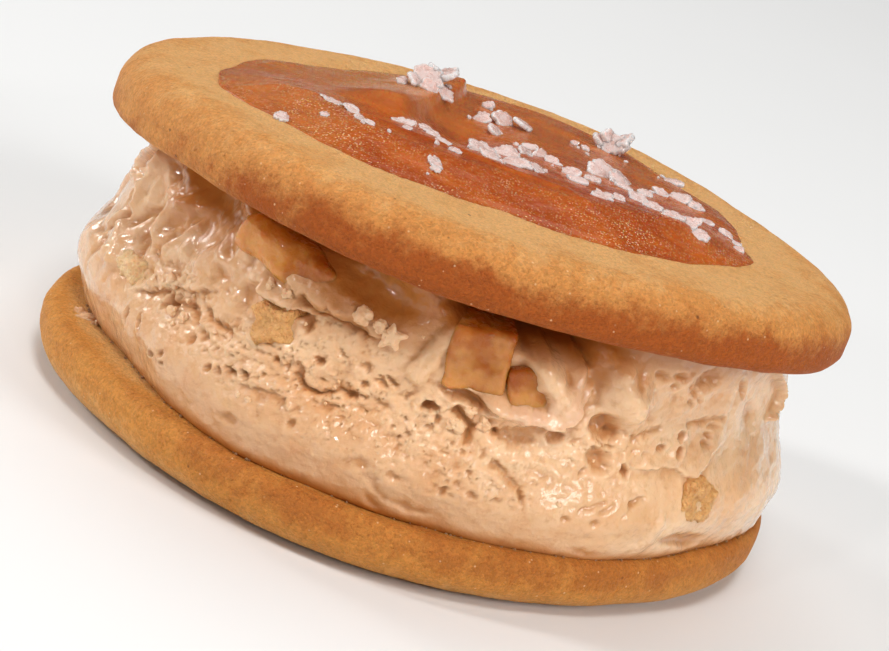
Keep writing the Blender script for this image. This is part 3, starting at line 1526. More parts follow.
@dataclass
class IceCream:
    """The slab of ice cream, sculpted from a turned body."""

    name: str = "ice_cream_slab"
    node: str = "ice_cream"
    foot_radius: float = 39.1
    edge: tuple[Wave, ...] = (
        Wave(1, 1.2, -16),
        Wave(2, 0.8, -104),
        Wave(3, 0.6, 70),
        Wave(4, 0.5, -28),
        Wave(6, 0.5, 14),
    )
    columns: int = 760
    side_rows: int = 106
    front_share: float = 0.35
    belly_height: float = 12.0
    belly_spread: float = 5.0
    belly_size: float = 2.0
    taper: float = 0.14
    taper_reach: float = 13.0
    lump_size: float = 0.35
    lump_length: float = 6.0
    bottom_roll: float = 0.05
    top_roll: float = 0.05
    sunk: float = 0.12
    wobble_length: float = 1.6
    wobble_along: float = 0.42
    wobble_up: float = 0.34
    lip_place: float = 1.45
    skin_length: float = 3.2
    skin_height: float = 0.17
    lobe_length: float = 5.2
    lobe_height: float = 1.2
    surroundings: int = 30
    crease_depth: float = 0.24
    least_crease: float = 0.3
    rough_length: float = 2.6
    airy_stretch: float = 1.9
    pit_rarity: float = 0.86
    pit_depth: float = 0.50
    tear_depth: float = 0.45
    ledge_depth: float = 0.20

    @property
    def floor(self) -> float:
        """Height of its underside, a little into the uneven cookie."""
        return STACK.cookie_thickness - self.sunk

    def radius(self, angle: np.ndarray, height: np.ndarray) -> np.ndarray:
        """Radius of the plain side at angles in radians and heights.

        Args:
            angle: The angles.
            height: The heights.

        Returns:
            The radii.
        """
        radius = self.foot_radius + wave_sum(self.edge, angle)
        above = height - self.belly_height
        radius = radius + self.belly_size * np.exp(-((above / self.belly_spread) ** 2))
        radius -= self.taper * np.clip(above, 0.0, self.taper_reach)
        for swell in SWELLS:
            across = (np.degrees(angle) - swell.angle + 180.0) % 360.0 - 180.0
            radius += swell.size * blob(across, height - swell.height, swell.wide, swell.tall)
        places = np.stack([np.cos(angle), np.sin(angle), height / self.foot_radius], axis=1)
        places *= self.foot_radius / self.lump_length
        lumps = np.array([noise.noise(p) for p in places.tolist()])
        return radius + self.lump_size * lumps

    def side_point(self, along: float, up: float, proud: float = 0.0) -> Vector:
        """A point of the plain side, in the sandwich's frame.

        Args:
            along: Place round the side.
            up: Height.
            proud: How far it stands out.

        Returns:
            The point.
        """
        angle = np.array([FRONT_ANGLE + along / SIDE_RADIUS])
        reach = float(self.radius(angle, np.array([up]))[0]) + proud
        spot = Vector((reach * math.cos(angle[0]), reach * math.sin(angle[0]), up))
        return spot + Vector(STACK.place)

    def profile(self) -> list[Place]:
        """Section as (share of radius, share of height) points.

        Returns:
            The points, from the lower pole up.
        """
        points = [(share, 0.0) for share in (0.0, 0.3, 0.6, 0.8, 0.9, 0.95)]
        for row in range(self.side_rows + 1):
            level = row / self.side_rows
            low = max(1.0 - level / self.bottom_roll, 0.0)
            high = max((level - 1.0 + self.top_roll) / self.top_roll, 0.0)
            points.append((1.0 - 0.010 * low**2.2 - 0.03 * high**2, level))
        points += [(share, 1.0) for share in (0.93, 0.86, 0.76, 0.6, 0.3, 0.0)]
        return points

    def sculpt(
        self, along: np.ndarray, up: np.ndarray, places: np.ndarray
    ) -> tuple[np.ndarray, np.ndarray, np.ndarray]:
        """Work out the modelled relief of the side.

        Args:
            along: Places round the side.
            up: Heights.
            places: The same points in space, for noise.

        Returns:
            How far each point stands out, how far it sags, and how hollow it is.
        """
        out = np.zeros(along.shape)
        sag = np.zeros(along.shape)
        hollow = np.zeros(along.shape)
        ragged = 1.0 - 0.6 * zone_sum(MELTY, along, up)
        wobble_x = fractal(places, self.wobble_length, 3, 21.0) * self.wobble_along * ragged
        wobble_y = fractal(places, self.wobble_length, 3, 42.0) * self.wobble_up * ragged
        x, y = along + wobble_x, up + wobble_y
        for dent in RECESSES + LEFT_SWIRLS + LEFT_PITS + CENTRE_PITS + RIGHT_PITS + BACK_PITS:
            reach = 3.0 * max(dent.wide, dent.tall)
            near = np.nonzero((np.abs(along - dent.along) < reach) & (np.abs(up - dent.up) < reach))[0]
            turn = math.radians(dent.turn)
            gap_x, gap_y = x[near] - dent.along, y[near] - dent.up
            across = (gap_x * math.cos(turn) + gap_y * math.sin(turn)) / dent.wide
            over = (gap_y * math.cos(turn) - gap_x * math.sin(turn)) / dent.tall
            squared = across * across + over * over
            pit = np.exp(-(squared**dent.steep))
            rim = dent.lip * np.exp(-((np.sqrt(squared) - self.lip_place) ** 2) / 0.16)
            out[near] -= dent.depth * (pit - rim)
            if dent.depth > 0 and dent.steep > 1.3:
                cave = float(smooth_step(np.array(dent.depth - 2.5)))
                hollow[near] = np.maximum(hollow[near], pit * (min(dent.depth, 1.0) + cave))
        for stroke in FOLDS + STROKES:
            self.draw(stroke, x, y, out, sag, hollow)
        return out, sag, hollow

    def draw(
        self,
        stroke: Stroke,
        x: np.ndarray,
        y: np.ndarray,
        out: np.ndarray,
        sag: np.ndarray,
        hollow: np.ndarray,
    ) -> None:
        """Add one crease or ridge to the relief.

        Args:
            stroke: The crease or ridge.
            x: Wobbled places round the side.
            y: Wobbled heights.
            out: How far each point stands out, changed here.
            sag: How far each point sags, changed here.
            hollow: How hollow each point is, changed here.
        """
        margin = 3.0 * max(stroke.width, stroke.reach if stroke.step else 0.0)
        route_x = [p[0] for p in stroke.route]
        route_y = [p[1] for p in stroke.route]
        near = np.nonzero(
            (x > min(route_x) - margin)
            & (x < max(route_x) + margin)
            & (y > min(route_y) - margin)
            & (y < max(route_y) + margin)
        )[0]
        distance, side = line_distance(x[near], y[near], stroke.route)
        line = np.exp(-((distance / stroke.width) ** (2.0 * stroke.blunt)))
        out[near] += stroke.height * line
        if stroke.step:
            signed = distance * side
            away = np.exp(-distance / stroke.reach)
            out[near] += stroke.step * away * (2.0 * smooth_step(signed / 0.5 + 0.5) - 1.0)
        if stroke.hang:
            edge = np.where(side > 0, np.exp(-distance / 0.7), np.exp(-distance / 0.3))
            sag[near] += stroke.hang * edge
        if stroke.height < -self.least_crease:
            hollow[near] = np.maximum(hollow[near], line * min(-stroke.height / 1.2, 1.0))

    def torn(self, places: np.ndarray, porous: np.ndarray) -> tuple[np.ndarray, np.ndarray]:
        """The ragged, airy texture where a scoop tore the ice cream.

        Args:
            places: Points in space.
            porous: How airy each is.

        Returns:
            How far each point stands out, and how hollow it is.
        """
        out = np.zeros(len(places))
        hollow = np.zeros(len(places))
        airy = np.nonzero(porous > 0.05)[0]
        spots = places[airy] * np.array([1.0, 1.0, self.airy_stretch])
        amount = porous[airy]
        rough = fractal(spots, self.rough_length, 4, 1.1)
        crumbly = fractal(places[airy], 0.75, 3, 6.6)
        shifted = spots + np.stack([rough, crumbly, rough * crumbly], axis=1) * 0.55
        ridged = 1.0 - np.abs(fractal(shifted, 2.3, 3, 9.4)) * 2.2
        distance, share = cells(shifted, 1.5, 3.3)
        pit = np.where(share > self.pit_rarity, smooth_step((0.46 - distance) / 0.3), 0.0)
        tear = smooth_step((ridged - 0.74) / 0.22) * smooth_step((rough + 0.1) / 0.4)
        ledge = smooth_step((fractal(shifted, 1.5, 2, 4.4) - 0.12) / 0.12)
        depth = self.pit_depth * pit + self.tear_depth * tear + self.ledge_depth * ledge
        out[airy] = amount * (0.40 * rough + 0.10 * crumbly + 0.1 - depth)
        hollow[airy] = np.clip(amount * (pit + 0.8 * tear + 0.25 * ledge), 0.0, 1.0)
        return out, hollow

    def build(self, finish: CreamFinish) -> bpy.types.Object:
        """Sculpt the ice cream.

        Args:
            finish: Its finish.

        Returns:
            The piece.
        """
        bm = rolled(self.profile(), self.columns)
        turned = get_points(bm)
        share = np.hypot(turned[:, 0], turned[:, 1])
        level = turned[:, 2]
        round_front = np.arctan2(turned[:, 1], turned[:, 0]) - FRONT_ANGLE
        round_front = (round_front + math.pi) % math.tau - math.pi
        round_front -= self.front_share * np.sin(round_front)
        angle = FRONT_ANGLE + round_front
        cos, sin = np.cos(angle), np.sin(angle)
        rough_radius = self.foot_radius * share
        ceiling = STACK.ceiling(rough_radius * cos, rough_radius * sin) - STACK.gap
        height = self.floor + level * (ceiling - self.floor)
        along = round_front * SIDE_RADIUS
        places = np.stack([SIDE_RADIUS * cos, SIDE_RADIUS * sin, height], axis=1)
        porous = zone_sum(POROUS, along, height)
        out, sag, hollow = self.sculpt(along, height, places)
        torn_out, torn_hollow = self.torn(places, porous)
        ends = smooth_step(level / 0.05) * smooth_step((1.0 - level) / 0.04)
        skin = fractal(places * np.array([1.0, 1.0, 1.4]), self.skin_length, 3, 5.5) * self.skin_height
        lobes = np.abs(fractal(places * np.array([1.0, 1.0, 0.75]), self.lobe_length, 2, 31.0))
        skin += zone_sum(MELTY, along, height) * self.lobe_height * (smooth_step(lobes * 2.2) - 0.5)
        skin += fractal(places, 0.9, 2, 6.1) * 0.035
        out = (out + torn_out) * ends + skin * smooth_step(level / 0.03)
        reach = (self.radius(angle, height) + out * (share > 0.9)) * share
        ceiling = STACK.ceiling(reach * cos, reach * sin) - STACK.gap
        risen = self.floor + level * (ceiling - self.floor) - sag * ends
        points = np.stack([reach * cos, reach * sin, risen], axis=1)
        points += np.array(STACK.place)
        set_points(bm, points)
        foot = smooth_step((0.085 - level) / 0.08)
        eaves = smooth_step((level - 0.74) / 0.22)
        melt = 0.75 * foot + 0.65 * eaves + 0.92 * zone_sum(SHADED, along, height)
        add_attribute(bm, "melt", np.clip(melt, 0.0, 1.0))
        add_attribute(bm, "porous", porous)
        sunk = sunk_below(bm, out * (share > 0.9), self.surroundings) / self.crease_depth
        deep = np.maximum(np.maximum(hollow, torn_hollow), 0.8 * np.clip(sunk, 0.0, 1.0))
        add_attribute(bm, "hollow", 0.75 * np.clip(deep, 0.0, 1.0) + np.clip(deep - 1.0, 0.0, 1.0))
        add_attribute(bm, "rosy", zone_sum(ROSY, along, height) * 0.8)
        pale = zone_sum(PALE, along, height) * 0.9 + 0.5 * np.clip(-sunk, 0.0, 1.0)
        add_attribute(bm, "pale", np.clip(pale, 0.0, 1.0))
        return finish_piece(self.name, bm, finish.build(), [self.node])


# ---------------------------------------------------------------- crumbs


def crumb(size: float, seed: float, rough: float, fineness: int) -> bmesh.types.BMesh:
    """A broken crumb round the origin.

    Args:
        size: Its width in millimetres.
        seed: Picks its shape.
        rough: How ragged it is, from 0 to 1.
        fineness: Subdivisions of the ball that it starts from.

    Returns:
        The crumb.
    """
    bm = bmesh.new()
    bmesh.ops.create_icosphere(bm, subdivisions=fineness, radius=0.5)
    for vertex in bm.verts:
        coarse = noise.noise(vertex.co * 2.2 + Vector((seed, 0, 0)))
        fine = noise.noise(vertex.co * 6.0 + Vector((0, seed, 0)))
        vertex.co *= size * (1.0 + rough * (1.1 * coarse + 0.5 * fine))
    return bm


def tint(bm: bmesh.types.BMesh, **shares: float) -> None:
    """Give a whole body the same shares of what the cream's finish reads.

    Args:
        bm: The body.
        shares: The shares that are not 0.
    """
    for name in ("pale", "rosy", "melt", "hollow", "porous"):
        add_attribute(bm, name, np.full(len(bm.verts), shares.get(name, 0.0)))


def set_on(bm: bmesh.types.BMesh, spot: Vector, angle: float, turn: float, flat: float = 1.0) -> None:
    """Move a crumb to a spot, with its flattened side facing out at an angle.

    Args:
        bm: The crumb.
        spot: Its new middle.
        angle: Where it faces, in radians.
        turn: Turn about that direction, in radians.
        flat: Its depth as a share of its width.
    """
    matrix = (
        Matrix.Translation(spot)
        @ Matrix.Rotation(angle, 4, "Z")
        @ Matrix.Rotation(turn, 4, "X")
        @ Matrix.Diagonal((flat, 1.0, 1.0, 1.0))
    )
    bmesh.ops.transform(bm, matrix=matrix, verts=bm.verts)


@dataclass(frozen=True)
class CrumbPlace:
    """One crumb that sits on the side of the ice cream."""

    along: float
    up: float
    size: float
    turn: float = 0.0
    proud: float = 0.3
    rough: float = 0.5
    flat: float = 0.7
    arms: int = 0


@dataclass
class CreamCrumbs:
    """Ragged bits of frozen cream torn loose from the side."""

    cream: IceCream
    name: str = "cream_crumbs"
    named: tuple[CrumbPlace, ...] = (
        CrumbPlace(-3.8, 24.7, 2.3, 20, 0.5, 0.35, 0.4, 5),
        CrumbPlace(-5.2, 25.3, 1.4, 60, 0.3, 0.6),
        CrumbPlace(-7.3, 25.6, 1.8, 10, 0.2, 0.6),
        CrumbPlace(-37.8, 16.7, 1.8, 0, 0.25, 0.6),
        CrumbPlace(-36.2, 17.6, 1.5, 40, 0.3, 0.6),
        CrumbPlace(-34.6, 18.2, 1.6, 80, 0.25, 0.6),
        CrumbPlace(-32.6, 18.9, 1.5, 20, 0.2, 0.6),
        CrumbPlace(-30.5, 19.6, 1.4, 50, 0.2, 0.6),
        CrumbPlace(-31.6, 16.0, 1.1, 50, 0.1, 0.6),
        CrumbPlace(-29.2, 16.2, 1.2, 10, 0.1, 0.6),
        CrumbPlace(-18.8, 24.3, 1.3, 30, 0.5, 0.7),
        CrumbPlace(-16.2, 24.4, 1.2, 70, 0.5, 0.7),
        CrumbPlace(5.2, 18.2, 1.5, 20, 0.2, 0.7),
        CrumbPlace(6.4, 20.0, 1.2, 60, 0.2, 0.7),
        CrumbPlace(8.2, 19.0, 1.4, 0, 0.15, 0.6),
    )
    loose_count: int = 60
    loose_size: Place = (0.3, 0.75)
    loose_along: Place = (-125.0, 125.0)
    loose_up: Place = (11.0, 27.0)

    def build(self, material: bpy.types.Material) -> bpy.types.Object:
        """Make the crumbs as one piece.

        Args:
            material: Their material.

        Returns:
            The piece.
        """
        bodies = []
        for index, place in enumerate(self.named):
            body = crumb(place.size, index * 3.7 + 1.0, place.rough, 4)
            if place.arms:
                self.star(body, place.arms)
            self.lay(body, place.along, place.up, place.proud, math.radians(place.turn), place.flat)
            bodies.append(body)
        rng = np.random.default_rng(7)
        made = 0
        while made < self.loose_count:
            along = rng.uniform(*self.loose_along)
            up = rng.uniform(*self.loose_up)
            airy = zone_sum(POROUS, np.array([along]), np.array([up]))[0]
            if rng.random() > airy:
                continue
            size = rng.uniform(*self.loose_size) ** 1.3
            body = crumb(size, rng.uniform(0, 90), 0.6, 3)
            self.lay(body, along, up, -0.1 * size, rng.uniform(0, math.pi), 0.7)
            bodies.append(body)
            made += 1
        bm = join(bodies)
        tint(bm, pale=0.5, porous=0.4)
        return finish_piece(self.name, bm, material)

    def star(self, body: bmesh.types.BMesh, arms: int) -> None:
        """Pull a crumb out into arms round its outward axis.

        Args:
            body: The crumb.
            arms: Number of arms.
        """
        for vertex in body.verts:
            turn = math.atan2(vertex.co.z, vertex.co.y)
            reach = 0.8 + 0.55 * (0.5 + 0.5 * math.cos(arms * turn)) ** 2
            vertex.co.y *= reach
            vertex.co.z *= reach

    def lay(
        self, body: bmesh.types.BMesh, along: float, up: float, proud: float, turn: float, flat: float
    ) -> None:
        """Set a crumb on the side of the ice cream."""
        spot = self.cream.side_point(along, up, proud)
        set_on(body, spot, FRONT_ANGLE + along / SIDE_RADIUS, turn, flat)


@dataclass
class MeltSmears:
    """Cream that has melted on to the lower cookie, beside the filling."""

    name: str = "melt_smears"
    places: tuple[tuple[float, float, float, float], ...] = (
        (-36.9, -11.0, 2.6, 20.0),
        (-35.6, -12.0, 1.4, 60.0),
        (-38.0, -9.8, 1.2, 0.0),
        (27.0, 28.5, 2.4, 40.0),
        (-20.0, 35.2, 2.0, 110.0),
    )
    thick: float = 0.36
    narrow: float = 0.6

    def build(self, material: bpy.types.Material) -> bpy.types.Object:
        """Make the smears as one piece.

        Args:
            material: Their material.

        Returns:
            The piece.
        """
        bodies = []
        for index, (x, y, size, turn) in enumerate(self.places):
            body = crumb(1.0, index * 5.3 + 2.0, 0.45, 4)
            spot = Vector((x, y, STACK.cookie_thickness + 0.02)) + Vector(STACK.place)
            matrix = (
                Matrix.Translation(spot)
                @ Matrix.Rotation(math.radians(turn), 4, "Z")
                @ Matrix.Diagonal((size, size * self.narrow, self.thick * 3.0, 1.0))
            )
            bmesh.ops.transform(body, matrix=matrix, verts=body.verts)
            bodies.append(body)
        bm = join(bodies)
        tint(bm, pale=0.4, rosy=0.2, melt=0.15)
        return finish_piece(self.name, bm, material)


@dataclass
class ContactCrumbs:
    """Tiny frosted cookie crumbs along the line where the cream meets the lower cookie."""

    cream: IceCream
    name: str = "contact_crumbs"
    count: int = 360
    size: Place = (0.12, 0.36)
    inset: float = 0.985
    scatter: Place = (-0.1, 0.5)

    def build(self, finish: CrumbFinish) -> bpy.types.Object:
        """Make the crumbs as one piece.

        Args:
            finish: Their finish.

        Returns:
            The piece.
        """
        rng = np.random.default_rng(21)
        bodies = []
        for _ in range(self.count):
            angle = rng.uniform(0.0, math.tau)
            size = rng.uniform(*self.size)
            foot = float(self.cream.radius(np.array([angle]), np.array([self.cream.floor + 0.3]))[0])
            reach = foot * self.inset + rng.uniform(*self.scatter)
            up = STACK.cookie_thickness + 0.05
            spot = Vector((reach * math.cos(angle), reach * math.sin(angle), up))
            body = crumb(size, rng.uniform(0, 90), 0.5, 2)
            set_on(body, spot + Vector(STACK.place), angle, rng.uniform(0, math.pi))
            bodies.append(body)
        return finish_piece(self.name, join(bodies), finish.build())


# ---------------------------------------------------------------- pieces in the side


class ChunkKind(Enum):
    """What a piece in the ice cream is made of."""

    CARAMEL = "caramel"
    BISCUIT = "biscuit"
    PALE_BISCUIT = "pale_biscuit"


@dataclass(frozen=True)
class Chunk:
    """A broken piece of caramel or biscuit, set in the side of the ice cream."""

    node: str
    kind: ChunkKind
    size: tuple[float, float, float]
    lean: float
    edge: float
    wobble: float
    ragged: float
    cupped: float = 0.0
    film: float = 0.6
    proud: float = 0.0
    shift: float = 0.0
    cuts: int = 26

    def build(self, material: bpy.types.Material) -> bpy.types.Object:
        """Make the piece where its node is.

        Args:
            material: Its material.

        Returns:
            The piece.
        """
        low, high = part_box(self.node)
        middle = (low + high) / (2.0 * MM)
        outward = middle - Vector(STACK.place)
        angle = math.atan2(outward.y, outward.x)
        middle += Vector((math.cos(angle), math.sin(angle), 0.0)) * self.proud
        middle += Vector((-math.sin(angle), math.cos(angle), 0.0)) * self.shift
        bm = bmesh.new()
        bmesh.ops.create_cube(bm, size=1.0)
        bmesh.ops.subdivide_edges(bm, edges=bm.edges, cuts=self.cuts, use_grid_fill=True)
        half = np.array(self.size) / 2.0
        points = get_points(bm) * 2.0 * half
        inner = np.clip(points, -(half - self.edge), half - self.edge)
        away = points - inner
        length = np.maximum(np.linalg.norm(away, axis=1), 1e-6)[:, None]
        points = inner + away / length * self.edge
        directions = away / length
        seed = middle.z * 1.7
        points += pushes(points, 3.5, seed) * self.wobble
        ragged = fractal(points, 1.5, 4, seed) * self.ragged
        points += directions * ragged[:, None]
        sunk = self.cupped * blob(points[:, 1], points[:, 2], half[1] * 0.8, half[2] * 0.8)
        points[:, 0] -= np.where(points[:, 0] > 0, sunk, 0.0)
        set_points(bm, points)
        bmesh.ops.recalc_face_normals(bm, faces=bm.faces)
        across, over = points[:, 1] / half[1], points[:, 2] / half[2]
        patchy = fractal(points, 2.4, 3, seed + 9.0)
        add_attribute(bm, "bank", np.zeros(len(points)))
        add_attribute(bm, "thin", smooth_step(0.5 - 0.4 * over - 0.2 * across + 1.1 * patchy) * self.film)
        matrix = (
            Matrix.Translation(middle)
            @ Matrix.Rotation(angle, 4, "Z")
            @ Matrix.Rotation(math.radians(self.lean), 4, "X")
        )
        bmesh.ops.transform(bm, matrix=matrix, verts=bm.verts)
        return finish_piece(self.node + "_piece", bm, material, [self.node])


CARAMEL_SHAPE = {"kind": ChunkKind.CARAMEL, "edge": 0.75, "wobble": 0.4, "ragged": 0.10, "cupped": 0.3}
SLAB_SHAPE = CARAMEL_SHAPE | {"edge": 1.4, "wobble": 0.7}
BISCUIT_SHAPE = {"kind": ChunkKind.BISCUIT, "edge": 1.2, "wobble": 0.6, "ragged": 0.5}
PALE_SHAPE = {"kind": ChunkKind.PALE_BISCUIT, "edge": 1.1, "wobble": 0.6, "ragged": 0.45}
CHUNKS = (
    Chunk("caramel_cube", size=(6.8, 6.8, 6.8), lean=4, **CARAMEL_SHAPE),
    Chunk("caramel_slab", size=(6.5, 12.4, 4.6), lean=-10, **SLAB_SHAPE),
    Chunk("caramel_nugget", size=(5.0, 4.8, 5.0), lean=16, proud=0.4, shift=-0.8, **CARAMEL_SHAPE),
    Chunk("caramel_back_1", size=(6.2, 6.6, 6.0), lean=-14, **CARAMEL_SHAPE),
    Chunk("caramel_back_2", size=(6.0, 7.2, 5.2), lean=20, **CARAMEL_SHAPE),
    Chunk("caramel_back_3", size=(5.2, 5.6, 5.0), lean=-32, **CARAMEL_SHAPE),
    Chunk("biscuit_left", size=(4.6, 4.8, 4.6), lean=12, proud=0.3, **BISCUIT_SHAPE),
    Chunk("biscuit_right", size=(4.6, 6.0, 4.4), lean=-10, **BISCUIT_SHAPE),
    Chunk("biscuit_pale", size=(3.6, 6.2, 3.4), lean=16, **PALE_SHAPE),
    Chunk("biscuit_back_1", size=(4.8, 5.4, 4.6), lean=18, **BISCUIT_SHAPE),
    Chunk("biscuit_back_2", size=(4.6, 5.0, 4.4), lean=-22, **BISCUIT_SHAPE),
)


# ---------------------------------------------------------------- salt


@dataclass(frozen=True)
class Flake:
    """One plate of salt on the caramel.

    turn and tip are degrees, facing is its lean to the front in degrees, lift is
    how far it floats, and breadth, jag and curl make it wider, ragged and bent.
    """

    x: float
    y: float
    long: float
    wide: float
    turn: float = 0.0
    thick: float = 0.26
    tip: float = 6.0
    lift: float = 0.02
    facing: float = 12.0
    breadth: float = 1.4
    jag: float = 0.30
    curl: float = 0.04
    rows: int = 12
    columns: int = 40

    def outline(self, angle: np.ndarray, seed: float) -> np.ndarray:
        """Reach of a broken plate with a few straight sides, at angles in radians.

        Args:
            angle: The angles.
            seed: Picks the shape.

        Returns:
            The reach at each angle, about 1.
        """
        rng = np.random.default_rng(int(seed * 10))
        sides = int(rng.integers(5, 8))
        reach = np.full(angle.shape, 1.3)
        for side in range(sides):
            facing = math.tau * (side + rng.uniform(-0.3, 0.3)) / sides
            toward = np.maximum(np.cos(angle - facing), 0.2)
            reach = np.minimum(reach, rng.uniform(0.72, 1.0) / toward)
        return reach

    def body(self, pool: CaramelPool, seed: float) -> bmesh.types.BMesh:
        """Flatten a ball into a jagged plate that lies on the caramel.

        Args:
            pool: The caramel.
            seed: Picks the shape.

        Returns:
            The plate.
        """
        turns = [math.pi * row / self.rows for row in range(self.rows + 1)]
        bm = rolled([(math.sin(turn), -math.cos(turn)) for turn in turns], self.columns)
        points = get_points(bm)
        round_about = np.arctan2(points[:, 1], points[:, 0])
        out = np.hypot(points[:, 0], points[:, 1])
        rim = np.stack([np.cos(round_about), np.sin(round_about), np.zeros(len(out))], axis=1)
        jag = self.outline(round_about, seed) * (1.0 + self.jag * fractal(rim, 0.42, 4, seed))
        plate = out**0.45
        height = np.sign(points[:, 2]) * np.abs(points[:, 2]) ** 0.6 * self.thick / 2.0
        x = rim[:, 0] * plate * jag * self.long / 2.0
        y = rim[:, 1] * plate * jag * self.wide * self.breadth / 2.0
        height += 0.05 * fractal(np.stack([x, y, height], axis=1), 0.6, 3, seed + 4.0)
        height += self.curl * self.long * np.sin(x * 2.6 / self.long + seed)
        set_points(bm, np.stack([x, y, height], axis=1))
        add_attribute(bm, "edge", smooth_step((plate - 0.80) / 0.18) * 0.85)
        level = pool.surface(self.x, self.y) + self.thick * 0.3 + self.lift
        matrix = (
            Matrix.Translation((self.x, self.y, level))
            @ Matrix.Rotation(math.radians(self.facing), 4, "X")
            @ Matrix.Rotation(math.radians(self.turn), 4, "Z")
            @ Matrix.Rotation(math.radians(self.tip), 4, "X")
            @ Matrix.Rotation(math.radians(self.tip * math.sin(seed * 5.0)), 4, "Y")
        )
        bmesh.ops.transform(bm, matrix=matrix, verts=bm.verts)
        return bm


@dataclass
class SaltFlakes:
    """The flaky salt scattered over the caramel."""

    name: str = "salt_flakes"
    flakes: tuple[Flake, ...] = (
        Flake(-10.6, 15.6, 4.4, 3.2, 10, 1.0, 30, 0.5),
        Flake(-9.0, 16.8, 3.8, 2.6, 60, 1.0, -34, 1.2),
        Flake(-11.9, 14.6, 3.0, 2.2, 100, 0.7, 24, 0.3),
        Flake(-10.0, 17.2, 2.6, 1.9, 140, 0.8, 40, 1.3),
        Flake(-8.2, 14.6, 2.4, 1.8, 30, 0.6, 20, 0.2),
        Flake(-13.4, 15.4, 1.6, 1.2, 0, 0.7, 10, 0.1),
        Flake(-10.2, 13.2, 2.2, 1.3, -20, 0.6, 34, 0.2),
        Flake(-18.8, -13.3, 3.2, 1.1, -35),
        Flake(-16.6, -14.6, 2.4, 1.2, -50),
        Flake(-15.2, -17.2, 2.6, 0.9, -55),
        Flake(-14.2, -18.6, 1.4, 0.8, -20),
        Flake(-18.9, -18.4, 1.2, 0.8, 10, 0.3),
        Flake(-22.9, -21.7, 1.7, 1.5, 0, 0.45),
        Flake(-10.9, -10.2, 2.4, 1.6, 20),
        Flake(-8.6, -7.4, 2.2, 1.2, 40),
        Flake(-10.4, -14.2, 1.4, 0.9, -60),
        Flake(-7.6, -10.9, 2.2, 0.9, -30),
        Flake(-6.2, -15.2, 2.0, 0.8, -30),
        Flake(-4.6, -17.2, 1.8, 0.8, -20),
        Flake(-6.3, -23.6, 1.7, 2.0, 30, 0.4),
        Flake(-5.9, -25.0, 1.2, 0.9, 0, 0.35),
        Flake(-2.2, -10.2, 3.8, 2.6, 25, 0.5),
        Flake(0.6, -6.6, 3.0, 2.2, 40, 0.5),
        Flake(-0.8, -14.0, 3.4, 1.1, -15, 0.4),
        Flake(2.0, -12.8, 3.6, 1.6, 5, 0.5),
        Flake(4.2, -11.2, 2.4, 1.8, 40, 0.5),
        Flake(-3.2, 16.2, 2.4, 1.6, 20, 0.7, 18),
        Flake(-1.0, 17.6, 3.4, 2.2, 10, 0.8, 22, 0.3),
        Flake(1.5, 17.9, 2.8, 1.8, -20, 0.7, -18, 0.3),
        Flake(-1.2, 11.4, 2.6, 1.8, 50, 0.6, 20),
        Flake(-3.0, 23.4, 1.6, 1.2, 0, 0.8, 20),
        Flake(2.6, 1.6, 2.8, 1.2, 60, 0.5, 30),
        Flake(4.2, 3.4, 2.6, 1.0, 70, 0.5, 30),
        Flake(5.8, 0.8, 2.6, 1.2, -40, 0.5, 20),
        Flake(3.0, 7.2, 2.0, 0.9, 20, 0.5, 20),
        Flake(8.0, -4.4, 2.4, 1.4, -30, 0.6, 24),
        Flake(8.8, -8.4, 2.6, 1.2, 0, 0.5),
        Flake(10.6, -2.6, 2.2, 1.0, 20, 0.5),
        Flake(11.6, 5.6, 4.4, 2.8, 20, 0.7, 18),
        Flake(14.0, 7.6, 3.4, 2.2, -20, 0.7, -14),
        Flake(13.4, 4.2, 2.4, 1.4, 10, 0.6, 20),
        Flake(11.8, -13.6, 2.6, 1.6, 20, 0.4),
        Flake(13.6, -10.6, 1.8, 1.2, -40, 0.35),
        Flake(14.4, 1.0, 2.4, 1.0, -30, 0.5),
        Flake(16.8, 1.8, 2.2, 1.2, 0, 0.5),
        Flake(15.9, -5.2, 3.2, 1.6, -50, 0.55),
        Flake(17.6, -8.4, 2.8, 1.4, -30, 0.5),
        Flake(19.8, -10.4, 2.8, 1.2, 10, 0.5),
        Flake(21.9, -10.0, 2.8, 2.2, -30, 0.5, 16),
        Flake(23.2, -12.2, 2.4, 1.6, -70, 0.5),
        Flake(12.6, 24.2, 4.2, 2.4, 0, 1.2, 32, 0.6),
        Flake(13.4, 24.8, 3.0, 2.2, 60, 1.1, -36, 1.2),
        Flake(11.8, 24.6, 2.4, 1.8, 110, 0.9, 40, 1.1),
        Flake(11.0, 24.4, 2.4, 1.6, 30, 0.9, 24, 0.3),
        Flake(20.6, 20.6, 2.6, 1.2, -20, 0.6),
        Flake(18.8, 8.6, 2.2, 1.2, -30, 0.5),
        Flake(21.2, 10.4, 3.2, 2.0, 10, 0.6),
        Flake(23.2, 9.4, 2.0, 1.4, -40, 0.5),
        Flake(24.4, 1.0, 2.2, 0.9, -40, 0.4),
        Flake(26.6, -0.4, 2.0, 0.9, -20, 0.4),
        Flake(28.0, -2.4, 1.6, 0.8, -60, 0.4),
        Flake(28.3, -5.6, 1.4, 0.8, -80, 0.4),
        Flake(8.0, 20.0, 1.0, 0.8, 0, 0.5),
        Flake(9.4, 19.2, 1.1, 0.8, 0, 0.5),
    )
    grains: int = 46
    grain_size: Place = (0.35, 0.8)
    spread: float = 1.6

